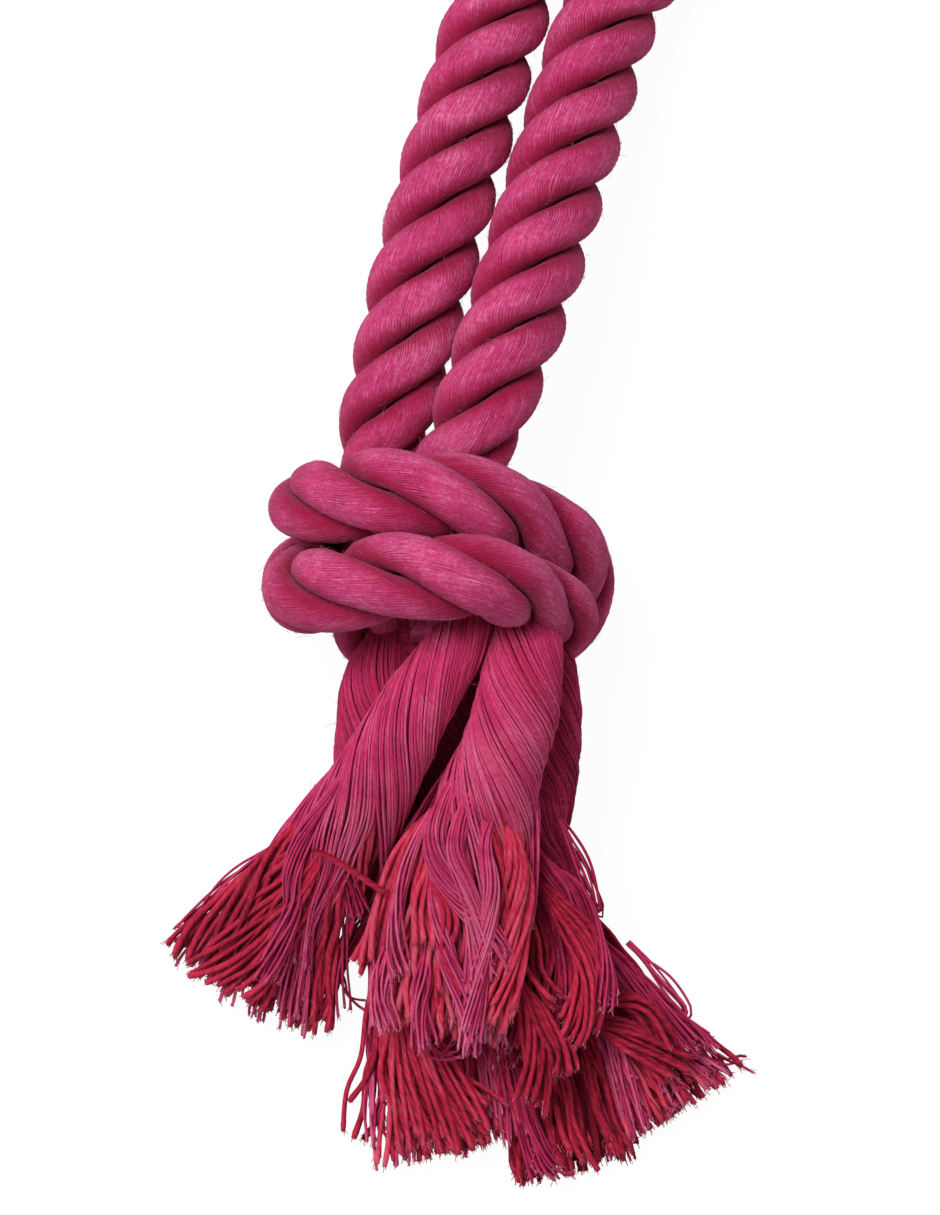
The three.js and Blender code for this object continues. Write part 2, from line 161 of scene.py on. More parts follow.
# The rope's route as it was laid, the same points as in the part's source: x, y, height over
# the knot's middle, diameter and lay, in shares of the tightened diameter.
LEFT_ROPE_SHARES = [
    [-0.05, -0.85, 0.5, 0.72, 3.7],
    [0.1, -0.3, 0.25, 0.72, 3.7],
    [0.2, 0.25, -0.3, 0.72, 3.7],
    [0.0, 0.55, -0.85, 0.72, 3.7],
    [-0.6, 0.65, -1.0, 0.72, 3.7],
    [-1.2, 0.7, -0.7, 0.8, 3.7],
    [-1.5, 0.75, 0.0, 0.9, 3.3],
    [-1.2, 0.88, 0.8, 1.0, 3.3],
    [-0.4, 0.85, 1.1, 1.0, 3.3],
    [0.5, 0.8, 0.85, 1.0, 3.3],
    [1.1, 0.4, 0.35, 0.95, 3.3],
    [1.4, -0.3, -0.15, 0.9, 3.3],
    [1.2, -0.95, -0.9, 0.8, 3.05],
    [0.4, -0.98, -1.6, 0.8, 3.05],
    [-0.65, -1.0, -1.4, 0.8, 3.05],
    [-1.1, -0.6, -0.8, 0.72, 3.05],
    [-0.65, 0.3, -0.4, 0.72, 3.05],
    [-0.55, 1.1, 0.0, 0.95, 2.7],
    [-0.45, 2.0, 0.0, 1.15, 2.32],
    [-0.25, 3.1, -0.1, 1.22, 2.32],
    [0.03, 4.3, -0.3, 1.22, 2.32],
    [0.38, 5.5, -0.65, 1.22, 2.32],
    [0.75, 6.65, -1.05, 1.22, 2.32],
]
HAND_LOOP_SHARES = [
    [1.05, 8.0, -1.42, 1.22, 2.35],
    [1.0, 9.6, -1.56, 1.22, 2.35],
    [1.35, 11.3, -1.56, 1.22, 2.35],
    [2.5, 12.8, -1.56, 1.22, 2.35],
    [4.2, 13.3, -1.56, 1.22, 2.35],
    [5.6, 12.3, -1.56, 1.22, 2.35],
    [5.7, 10.6, -1.56, 1.22, 2.35],
    [4.6, 9.1, -1.56, 1.22, 2.35],
    [3.1, 8.1, -1.42, 1.22, 2.35],
]
RIGHT_ROPE_SHARES = [
    [1.98, 6.7, -1.05, 1.22, 2.32],
    [1.63, 5.5, -0.65, 1.22, 2.32],
    [1.27, 4.3, -0.2, 1.22, 2.32],
    [0.9, 3.1, 0.2, 1.22, 2.32],
    [0.5, 2.0, 0.5, 1.15, 2.32],
    [0.15, 1.1, 0.4, 0.95, 2.7],
    [-0.4, 0.3, 0.3, 0.72, 3.0],
    [-0.5, -0.4, -0.2, 0.72, 3.0],
    [-0.1, -0.7, -0.8, 0.72, 3.0],
    [0.45, -0.6, -0.9, 0.72, 3.0],
    [0.85, -0.4, -0.3, 0.72, 3.0],
    [1.05, -0.25, 0.7, 0.8, 3.0],
    [0.8, 0.1, 1.5, 0.95, 3.3],
    [0.2, 0.2, 1.7, 1.0, 3.3],
    [-0.5, 0.0, 1.55, 1.0, 3.3],
    [-1.2, -0.2, 1.2, 1.0, 3.3],
    [-1.65, -0.3, 0.5, 0.95, 3.3],
    [-1.7, -0.2, -0.2, 0.85, 3.3],
    [-1.4, 0.1, -0.9, 0.8, 3.3],
    [-0.9, 0.4, -1.7, 0.8, 3.3],
    [0.0, 0.5, -1.75, 0.8, 3.3],
    [0.65, 0.45, -1.4, 0.72, 3.3],
    [0.75, 0.2, -0.6, 0.72, 3.3],
    [0.65, -0.3, 0.0, 0.72, 3.3],
    [0.75, -0.85, 0.25, 0.72, 3.3],
]


def units(rows):
    """Each row of numbers, divided by its length."""
    return rows / np.maximum(np.linalg.norm(rows, axis=-1, keepdims=True), 1e-12)


def smooth_through(points, samples=SAMPLES):
    """A Catmull-Rom curve through rows: x, y and z by the curve, the other columns evenly."""
    points = np.array(points, float)
    padded = np.vstack([2 * points[0] - points[1], points, 2 * points[-1] - points[-2]])
    spans = len(points) - 1
    at = np.arange(spans * samples + 1)
    span = np.minimum(at // samples, spans - 1)
    t = (at / samples - span)[:, None]
    p0, p1, p2, p3 = (padded[span + k] for k in range(4))
    v1, v2 = (p2 - p0) / 2, (p3 - p1) / 2
    cubic = (2 * p1 - 2 * p2 + v1 + v2) * t**3 + (3 * p2 - 3 * p1 - 2 * v1 - v2) * t**2 + v1 * t + p1
    cubic[:, 3:] = (p1 + (p2 - p1) * t)[:, 3:]
    return cubic


def reaches(places):
    """How far along its line each point is, for one line or many."""
    steps = np.linalg.norm(np.diff(places[..., :3], axis=-2), axis=-1)
    return np.concatenate([np.zeros_like(steps[..., :1]), np.cumsum(steps, -1)], -1)


def evenly(rows, step):
    """The same line with rows at even distances."""
    reach = reaches(rows)
    at = np.linspace(0, reach[-1], round(reach[-1] / step) + 1)
    return np.stack([np.interp(at, reach, column) for column in rows.T], 1)


def smooth(path, laid):
    """Takes the corners out of the route, and keeps it near where it was laid."""
    pull, bend = np.zeros_like(path), np.zeros_like(path)
    pull[1:-1] = path[:-2] + path[2:] - 2 * path[1:-1]
    bend[1:-1] = pull[:-2] + pull[2:] - 2 * pull[1:-1]
    free = slice(FIXED_STATIONS, -FIXED_STATIONS)
    path[free] += SMOOTHING_SHARE * pull[free] - STIFFNESS_SHARE * bend[free]
    path[free] += HOLD_SHARE * (laid[free] - path[free])


def separate(path, first, second, thick):
    """Pushes apart the stations that are closer than the rope is thick."""
    away = path[first] - path[second]
    distance = np.linalg.norm(away, axis=1)
    near = distance < thick
    i, j = first[near], second[near]
    half = away[near] * ((thick - distance) / 2 / np.maximum(distance, 1e-12))[near, None]
    push = np.zeros_like(path)
    np.add.at(push, i, half)
    np.add.at(push, j, -half)
    touches = np.bincount(np.concatenate([i, j]), minlength=len(path))
    share = np.minimum(1, PUSH_SHARE / np.maximum(touches, 1))
    free = slice(FIXED_STATIONS, -FIXED_STATIONS)
    path[free] += (push * share[:, None])[free]


def drawn_up(rows):
    """The route with the knot drawn up, as the part's source does it."""
    laid, path, diameters = rows[:, :3].copy(), rows[:, :3].copy(), rows[:, 3]
    first, second = np.triu_indices(len(rows), 1)
    thick = (diameters[first] + diameters[second]) / 2 + GAP
    apart = (second - first) * STEP > NEIGHBOUR_SHARE * thick
    pairs = first[apart], second[apart], thick[apart]
    for _ in range(SETTLE_ROUNDS):
        smooth(path, laid)
        for _ in range(SETTLE_PASSES):
            separate(path, *pairs)
    for _ in range(SETTLE_ROUNDS):
        separate(path, *pairs)
    return np.hstack([path, rows[:, 3:]])


def tangents(places):
    """The direction of one line or many at each point."""
    ahead = np.concatenate([places[..., 1:, :], places[..., -1:, :]], -2)
    behind = np.concatenate([places[..., :1, :], places[..., :-1, :]], -2)
    return units(ahead - behind)


def carried(places, side):
    """A side vector taken along a line without spin."""
    sides = []
    for tangent in tangents(places):
        side = side - side @ tangent * tangent
        side = side / np.linalg.norm(side)
        sides.append(side)
    return np.array(sides)


ROUTE = np.array(LEFT_ROPE_SHARES + HAND_LOOP_SHARES + RIGHT_ROPE_SHARES) * TIGHT_DIAMETER
rope = drawn_up(evenly(smooth_through(ROUTE), STEP))
rope_sides = carried(rope[:, :3], np.array([1.0, 0.0, 0.0]))
rope_reach = reaches(rope)


def turned(reach, lay):
    """How far the lay has turned at each row of a line."""
    steps = math.pi * np.diff(reach) * (1 / lay[1:] + 1 / lay[:-1])
    return np.concatenate([[0], np.cumsum(steps)])


rope_turn = turned(rope_reach, rope[:, 4])
STRAND_TURNS = 2 * math.pi * np.arange(STRANDS) / STRANDS
CROWN_ANGLES = np.radians([-40, -20, 0, 20, 40])


def crown_reach(angle):
    """How far a strand's crown is from the rope's middle, in shares of the diameter."""
    c, s = math.cos(angle) / CROWN_DEPTH_SHARE, math.sin(angle) / CROWN_WIDTH_SHARE
    offset = CROWN_OFFSET_SHARE / CROWN_DEPTH_SHARE
    a = c * c + s * s
    return (offset * c + math.sqrt(offset**2 * c * c - a * (offset**2 - 1))) / a


def packed_middle():
    """Where the knot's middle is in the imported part's frame, on the floor.

    The hand loop's own box, worked out round the knot's middle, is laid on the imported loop's box.
    """
    crossings = np.flatnonzero(np.diff(rope[:, 1] > LOOP_START_SHARE * TIGHT_DIAMETER)) + 1
    loop = slice(crossings[0], crossings[1] + 1)
    up = np.cross(tangents(rope[:, :3]), rope_sides)
    points = []
    for strand in range(STRANDS):
        for angle in CROWN_ANGLES:
            round_rope = (rope_turn + STRAND_TURNS[strand] + angle)[:, None]
            out = np.cos(round_rope) * rope_sides + np.sin(round_rope) * up
            points.append((rope[:, :3] + rope[:, 3:4] * crown_reach(angle) * out)[loop])
    points = np.vstack(points)
    corners = [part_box(f"loop_strand_{n + 1}") for n in range(STRANDS)]
    low = np.min([corner[0] for corner in corners], axis=0)
    high = np.max([corner[1] for corner in corners], axis=0)
    middle = (low + high) / 2 - (points.min(0) + points.max(0)) / 2
    return np.array([middle[0], middle[1], 0.0])


MIDDLE = packed_middle() + np.array([0.0, 0.0, KNOT_HEIGHT])


# The view


def place_camera():
    """The camera straight over the toy, with the photograph's frame round it."""
    data = bpy.data.cameras.new("photo_view")
    camera = bpy.data.objects.new("photo_view", data)
    bpy.context.scene.collection.objects.link(camera)
    data.sensor_fit = "VERTICAL"
    data.sensor_height = SENSOR
    data.lens = SENSOR * CAMERA_DISTANCE / FRAME_HEIGHT
    aim = MIDDLE + TIGHT_DIAMETER * np.array(CAMERA_AIM_SHARES + [0])
    camera.location = (aim[0], aim[1], aim[2] + CAMERA_DISTANCE)
    bpy.context.scene.camera = camera


place_camera()


# Meshes


def skinned(rings, u, v):
    """Closed tubes from their rings of points, with texture places for each corner.

    rings is tubes x rows x corners x 3, anticlockwise as seen from ahead. u and v have one
    corner more, so that the last face of a ring doesn't wrap back to its start.
    """
    count, rows, corners, _ = rings.shape
    number = np.arange(count * rows * corners).reshape(count, rows, corners)
    ahead = np.roll(number, -1, axis=2)
    quads = np.stack([number[:, :-1], ahead[:, :-1], ahead[:, 1:], number[:, 1:]], -1)
    places = np.stack(np.broadcast_arrays(u, v), -1)
    corner_places = np.stack(
        [places[:, :-1, :-1], places[:, :-1, 1:], places[:, 1:, 1:], places[:, 1:, :-1]], -2
    )
    ends = np.concatenate([number[:, 0, ::-1], number[:, -1]])
    end_places = np.concatenate([places[:, 0, -2::-1], places[:, -1, :-1]])
    return {
        "points": rings.reshape(-1, 3),
        "corners": np.concatenate([quads.ravel(), ends.ravel()]),
        "sizes": np.concatenate([np.full(quads.size // 4, 4), np.full(len(ends), corners)]),
        "places": np.concatenate([corner_places.reshape(-1, 2), end_places.reshape(-1, 2)]),
    }


def made_mesh(name, parts, materials, attributes):
    """One mesh object from skinned parts. A part's look is the number of its material."""

    def joined(label):
        return np.concatenate([part[label].ravel() for part in parts])

    mesh = bpy.data.meshes.new(name)
    starts = np.cumsum([0] + [len(part["points"]) for part in parts])
    points = np.concatenate([part["points"] for part in parts])
    corners = np.concatenate([part["corners"] + start for part, start in zip(parts, starts)])
    sizes = joined("sizes")
    mesh.vertices.add(len(points))
    mesh.vertices.foreach_set("co", points.astype(np.float32).ravel())
    mesh.loops.add(len(corners))
    mesh.loops.foreach_set("vertex_index", corners.astype(np.int32))
    mesh.polygons.add(len(sizes))
    firsts = np.concatenate([[0], np.cumsum(sizes)[:-1]])
    mesh.polygons.foreach_set("loop_start", firsts.astype(np.int32))
    kinds = np.concatenate([np.full(len(part["sizes"]), part.get("look", 0)) for part in parts])
    mesh.polygons.foreach_set("material_index", kinds.astype(np.int32))
    mesh.polygons.foreach_set("use_smooth", sizes == 4)
    places = mesh.uv_layers.new(name="yarn")
    places.data.foreach_set("uv", joined("places").astype(np.float32))
    for label in attributes:
        layer = mesh.attributes.new(label, "FLOAT", "POINT")
        layer.data.foreach_set("value", joined(label).astype(np.float32))
    for material in materials:
        mesh.materials.append(material)
    mesh.update()
    mesh.validate()
    piece = bpy.data.objects.new(name, mesh)
    bpy.context.scene.collection.objects.link(piece)
    return piece


def yarn_tubes(centres, radii, corners):
    """Round tubes along many centre lines at once: yarns x rows x 3, with their radii."""
    along = tangents(centres)
    side = units(np.cross(along[:, 0], [0.31, 0.17, 0.94]))
    sides = []
    for row in range(centres.shape[1]):
        side = units(side - np.sum(side * along[:, row], -1, keepdims=True) * along[:, row])
        sides.append(side)
    sides = np.stack(sides, 1)
    ups = np.cross(along, sides)
    angle = 2 * math.pi * np.arange(corners) / corners
    radii = np.broadcast_to(radii, centres.shape[:2])[..., None, None]
    spread = sides[:, :, None] * np.cos(angle)[:, None] + ups[:, :, None] * np.sin(angle)[:, None]
    u = np.arange(corners + 1)[None, None] / corners
    return skinned(centres[:, :, None] + radii * spread, u, reaches(centres)[:, :, None])


# Dyed cotton


def dyed(red, green, blue):
    """A colour as a screen shows it, as the shader needs it."""
    shares = [value / 255 for value in (red, green, blue)]
    linear = [s / 12.92 if s <= 0.04045 else ((s + 0.055) / 1.055) ** 2.4 for s in shares]
    return (*linear, 1.0)


class Nodes:
    """Short words for making shader nodes in one tree."""

    def __init__(self, tree):
        self.tree = tree

    def node(self, kind, **settings):
        node = self.tree.nodes.new(kind)
        for key, value in settings.items():
            setattr(node, key, value)
        return node

    def join(self, source, target):
        if isinstance(source, bpy.types.NodeSocket):
            self.tree.links.new(source, target)
        else:
            target.default_value = source

    def math(self, operation, *values):
        node = self.node("ShaderNodeMath", operation=operation)
        for value, socket in zip(values, node.inputs):
            self.join(value, socket)
        return node.outputs[0]

    def times(self, *values):
        return functools.reduce(lambda total, value: self.math("MULTIPLY", total, value), values)

    def mix(self, share, first, second):
        node = self.node("ShaderNodeMix", data_type="RGBA")
        self.join(share, node.inputs[0])
        self.join(first, node.inputs[6])
        self.join(second, node.inputs[7])
        return node.outputs[2]

    def spread(self, value, low, high, to_low=0.0, to_high=1.0):
        node = self.node("ShaderNodeMapRange")
        for index, entry in enumerate((value, low, high, to_low, to_high)):
            self.join(entry, node.inputs[index])
        return node.outputs[0]

    def vector(self, x, y, z=0.0):
        node = self.node("ShaderNodeCombineXYZ")
        for value, socket in zip((x, y, z), node.inputs):
            self.join(value, socket)
        return node.outputs[0]

    def noise(self, vector, scale=1.0, detail=2.0):
        """Even noise round zero."""
        node = self.node("ShaderNodeTexNoise")
        self.join(vector, node.inputs["Vector"])
        self.join(scale, node.inputs["Scale"])
        self.join(detail, node.inputs["Detail"])
        return self.math("SUBTRACT", node.outputs[0], 0.5)

    def chance(self, number):
        """A random number round zero for each whole number."""
        node = self.node("ShaderNodeTexWhiteNoise", noise_dimensions="1D")
        self.join(number, node.inputs["W"])
        return self.math("SUBTRACT", node.outputs[0], 0.5)

    def streaks(self, u, v, across, along, seed=0.0, detail=2.0):
        """Noise drawn out along the yarns: its scales across them, and along them per metre."""
        places = self.vector(self.times(u, across), self.times(v, along), seed)
        return self.noise(places, 1.0, detail)

    def sum_of(self, total, *shares):
        """A value to start from, and pairs of a value and how much of it is added."""
        for value, share in shares:
            total = self.math("ADD", total, self.math("MULTIPLY", value, share))
        return total

    def yarn_places(self):
        """The two texture places: across the yarns, and along them in metres."""
        split = self.node("ShaderNodeSeparateXYZ")
        self.join(self.node("ShaderNodeUVMap", uv_map="yarn").outputs[0], split.inputs[0])
        return split.outputs[0], split.outputs[1]

    def three_tones(self, tone, given):
        """Deep, middle and light by a tone from 0 to 1."""
        color = self.mix(self.spread(tone, 0.1, 0.5), given["Deep"], given["Middle"])
        return self.mix(self.spread(tone, 0.5, 1.0), color, given["Light"])


TONES = ("Deep", "Middle", "Light")


def color_group(name, numbers):
    """A node group that takes three tones and some numbers, and gives a colour and a height."""
    group = bpy.data.node_groups.new(name, "ShaderNodeTree")
    for label in TONES:
        group.interface.new_socket(label, in_out="INPUT", socket_type="NodeSocketColor")
    for label in numbers:
        group.interface.new_socket(label, in_out="INPUT", socket_type="NodeSocketFloat")
    group.interface.new_socket("Color", in_out="OUTPUT", socket_type="NodeSocketColor")
    group.interface.new_socket("Height", in_out="OUTPUT", socket_type="NodeSocketFloat")
    nodes = Nodes(group)
    given = nodes.node("NodeGroupInput").outputs
    return group, nodes, given, nodes.node("NodeGroupOutput").inputs


def felted_strand_group():
    """A strand's skin: fine yarns side by side, half hidden under a felt of their own fibres."""
    group, nodes, given, result = color_group("felted_strand", ["Line Contrast", "Crevice Shade"])
    u, v = nodes.yarn_places()
    where = nodes.node("ShaderNodeTexCoord").outputs["Object"]
    sway = nodes.streaks(u, v, 0.21, 60.0, detail=3.0)
    count = nodes.sum_of(u, (sway, 3.0))
    yarn = nodes.math("FLOOR", count)
    across = nodes.sum_of(-1.0, (nodes.math("FRACT", count), 2.0))
    groove = nodes.math("POWER", nodes.math("ABSOLUTE", across), 3.0)
    shown = nodes.spread(nodes.noise(where, 140.0, 3.0), -0.14, 0.16, 0.15, 1.0)
    lines = nodes.times(groove, shown, given["Line Contrast"])
    fibres = nodes.streaks(count, v, 1.7, 330.0, seed=5.0, detail=4.0)
    felt = nodes.noise(where, 1100.0, 4.0)
    clouds = nodes.noise(where, 55.0, 3.0)
    lint = nodes.spread(nodes.streaks(u, v, 1.3, 700.0, seed=9.0), 0.22, 0.3)
    # Painted shade: the lines darken the colour in the grooves between yarns, besides sinking them in
    # the bump.
    tone = nodes.sum_of(
        0.5, (clouds, 0.5), (fibres, 0.6), (felt, 0.45), (nodes.chance(yarn), 0.1),
        (lines, -0.34), (lint, 0.15),
    )
    color = nodes.three_tones(tone, given)
    # Painted shade: the grooves between strands are mixed towards the deep tone.
    nodes.join(nodes.mix(given["Crevice Shade"], color, given["Deep"]), result["Color"])
    nodes.join(nodes.sum_of(0.0, (lines, -0.8), (fibres, 1.2), (felt, 0.9)), result["Height"])
    return group


def plied_yarn_group():
    """One yarn of two plies: the slanting line between them, and fibres along it."""
    group, nodes, given, result = color_group("plied_yarn", ["Ply Contrast", "Plies", "Tone"])
    u, v = nodes.yarn_places()
    where = nodes.node("ShaderNodeTexCoord").outputs["Object"]
    turn = nodes.sum_of(0.0, (u, 2.0), (v, given["Plies"]))
    ply = nodes.math("ABSOLUTE", nodes.sum_of(-1.0, (nodes.math("FRACT", turn), 2.0)))
    groove = nodes.times(nodes.math("POWER", ply, 2.0), given["Ply Contrast"])
    fibres = nodes.streaks(u, v, 5.0, 420.0, seed=given["Tone"], detail=3.0)
    slubs = nodes.streaks(given["Tone"], v, 31.0, 130.0)
    clouds = nodes.noise(where, 60.0, 2.0)
    # Painted shade: the groove between the plies darkens the colour, besides sinking it in the bump.
    tone = nodes.sum_of(
        0.5, (given["Tone"], 1.0), (fibres, 0.45), (slubs, 0.5), (clouds, 0.4), (groove, -0.3),
    )
    nodes.join(nodes.three_tones(tone, given), result["Color"])
    nodes.join(nodes.sum_of(0.0, (groove, -1.0), (fibres, 0.8)), result["Height"])
    return group


FELTED_STRAND = felted_strand_group()
PLIED_YARN = plied_yarn_group()


def cotton(name, group, tones, numbers, attributes, relief, sheen):
    """Dyed cotton with a soft pale sheen at its edges.

    numbers are set on the group. attributes names the group's inputs that a mesh attribute of
    its own drives.
    """
    material = bpy.data.materials.new(name)
    material.use_nodes = True
    nodes = Nodes(material.node_tree)
    shader = material.node_tree.nodes["Principled BSDF"]
    shader.inputs["Roughness"].default_value = 0.9
    shader.inputs["Specular IOR Level"].default_value = 0.2
    shader.inputs["Sheen Weight"].default_value = sheen
    shader.inputs["Sheen Roughness"].default_value = 0.4
    shader.inputs["Sheen Tint"].default_value = dyed(236, 140, 186)
    pattern = nodes.node("ShaderNodeGroup", node_tree=group)
    for label, tone in zip(TONES, tones):
        pattern.inputs[label].default_value = dyed(*tone)
    for label, value in numbers.items():
        pattern.inputs[label].default_value = value
    for attribute, (label, share) in attributes.items():
        own = nodes.node("ShaderNodeAttribute", attribute_name=attribute).outputs["Fac"]
        nodes.join(nodes.times(own, share), pattern.inputs[label])
    nodes.join(pattern.outputs["Color"], shader.inputs["Base Color"])
    bump = nodes.node("ShaderNodeBump")
    bump.inputs["Strength"].default_value = 1.0
    bump.inputs["Distance"].default_value = relief
    nodes.join(pattern.outputs["Height"], bump.inputs["Height"])
    nodes.join(bump.outputs[0], shader.inputs["Normal"])
    return material


# The crevice attribute drives painted shade in the grooves between strands.
LAID_COTTON = cotton(
    "laid_cotton", FELTED_STRAND, [(144, 2, 50), (198, 63, 117), (238, 158, 192)],
    {"Line Contrast": 1.05}, {"crevice_shade": ("Crevice Shade", 0.8)}, relief=0.16 * MM, sheen=0.3,
)
COVER_COTTON = cotton(
    "magenta_cover_yarn", PLIED_YARN, [(134, 3, 44), (202, 52, 106), (242, 136, 174)],
    {"Ply Contrast": 0.25, "Plies": 520.0}, {"tone": ("Tone", 1.0)}, relief=0.08 * MM, sheen=0.2,
)
CORE_COTTON = cotton(
    "coral_core_yarn", PLIED_YARN, [(118, 2, 28), (202, 40, 74), (240, 106, 132)],
    {"Ply Contrast": 0.35, "Plies": 360.0}, {"tone": ("Tone", 1.0)}, relief=0.26 * MM, sheen=0.2,
)
FIBRE_COTTON = cotton(
    "stray_cotton_fibre", PLIED_YARN, [(176, 60, 104), (206, 96, 142), (234, 160, 190)],
    {"Ply Contrast": 0.0, "Plies": 1.0}, {"tone": ("Tone", 1.0)}, relief=0.02 * MM, sheen=0.1,
)


# The laid rope


def fine_route():
    """The settled route with more rows: places, diameters, lay, reach, turn and frame."""
    known = np.hstack([rope, rope_reach[:, None], rope_turn[:, None], rope_sides])
    rows = smooth_through(known, FINE_SAMPLES)
    places, (diameter, lay, reach, turn), sides = rows[:, :3], rows[:, 3:7].T, rows[:, 7:]
    along = tangents(places)
    sides = units(sides - np.sum(sides * along, -1, keepdims=True) * along)
    return places + MIDDLE, diameter, lay, reach, turn, sides, np.cross(along, sides)


def ramp(values, low, high):
    """From 0 to 1 between two values, straight."""
    return np.clip((values - low) / (high - low), 0, 1)


def strand_angles():
    """Corner angles round a strand from its outward side: close in front, wide within."""
    front = np.linspace(-FRONT_ANGLE, FRONT_ANGLE, FRONT_CORNERS)
    behind = np.linspace(FRONT_ANGLE, 2 * math.pi - FRONT_ANGLE, STRAND_CORNERS - FRONT_CORNERS + 2)
    return np.concatenate([front, behind[1:-1]])


def strand_reach(angle):
    """How far a strand's skin is from its own middle, in shares of the rope's diameter."""
    oval = 1 / np.hypot(np.cos(angle) / CROWN_DEPTH_SHARE, np.sin(angle) / LOBE_WIDTH_SHARE)
    seam = math.pi / STRANDS
    from_front = np.abs((angle + math.pi) % (2 * math.pi) - math.pi)
    wall = np.sin(np.maximum(from_front - seam, 1e-3))
    wedge = (CROWN_OFFSET_SHARE * math.sin(seam) - SEAM_SHARE) / np.maximum(wall, 1e-3)
    return (oval**-SOFTNESS + wedge**-SOFTNESS) ** (-1 / SOFTNESS)


def lumps_of(reach, angles):
    """Soft lumps of a strand's skin, as shares round one."""
    lumps = np.ones((len(reach), len(angles)))
    for share, length in LUMPS:
        for times in (1, 2):
            start = random.uniform(0, 2 * math.pi, 2)
            wave = np.sin(2 * math.pi * reach[:, None] / length * random.uniform(0.8, 1.25) + start[0])
            lumps += share / 2 * wave * np.cos(times * angles + start[1])
    return lumps


def make_rope():
    """The three strands as one piece, with their line and skins for what lies on them."""
    places, diameter, lay, reach, turn, sides, ups = fine_route()
    in_knot = 1 - ramp(diameter / TIGHT_DIAMETER, *KNOT_DIAMETER_SHARES)
    size = diameter * (1 + (PRESS_SHARE - 1) * in_knot)
    back_twist = np.interp(lay / TIGHT_DIAMETER, LAY_SHARES, YARN_BACK_TWISTS)
    turns = np.diff(turn, prepend=turn[0])
    yarn_turn = np.cumsum((1 + back_twist) * turns)[:, None]
    angles = strand_angles()
    around = np.append(angles, angles[0] + 2 * math.pi)
    hidden = np.abs((angles + math.pi) % (2 * math.pi) - math.pi)
    # Painted shade in the grooves between strands, by how far a corner turns in from the strand's
    # front.
    crevice_shade = ramp(hidden, *CREVICE_SHADE_ANGLES)
    parts, skins = [], []
    for strand in range(STRANDS):
        angle = (turn + STRAND_TURNS[strand])[:, None]
        out = np.cos(angle) * sides + np.sin(angle) * ups
        across = -np.sin(angle) * sides + np.cos(angle) * ups
        skin = strand_reach(angles) * lumps_of(reach, angles)
        x = size[:, None] * (CROWN_OFFSET_SHARE + skin * np.cos(angles))
        y = size[:, None] * skin * np.sin(angles)
        rings = places[:, None] + x[..., None] * out[:, None] + y[..., None] * across[:, None]
        rings[..., 2] = np.maximum(rings[..., 2], 0.0)
        count = YARNS_ROUND * (around + yarn_turn) / (2 * math.pi)
        part = skinned(rings[None], count[None], (reach[:, None] + 0.1 * strand)[None])
        part["crevice_shade"] = np.broadcast_to(crevice_shade, rings.shape[:2])
        parts.append(part)
        skins.append(rings)
    piece = made_mesh("laid_rope", parts, [LAID_COTTON], ["crevice_shade"])
    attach(piece, "root")
    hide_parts(*[f"{stretch}_strand_{n + 1}" for stretch in STRETCHES for n in range(STRANDS)])
    return piece, places, np.stack(skins)


laid_rope, rope_line, strand_skins = make_rope()
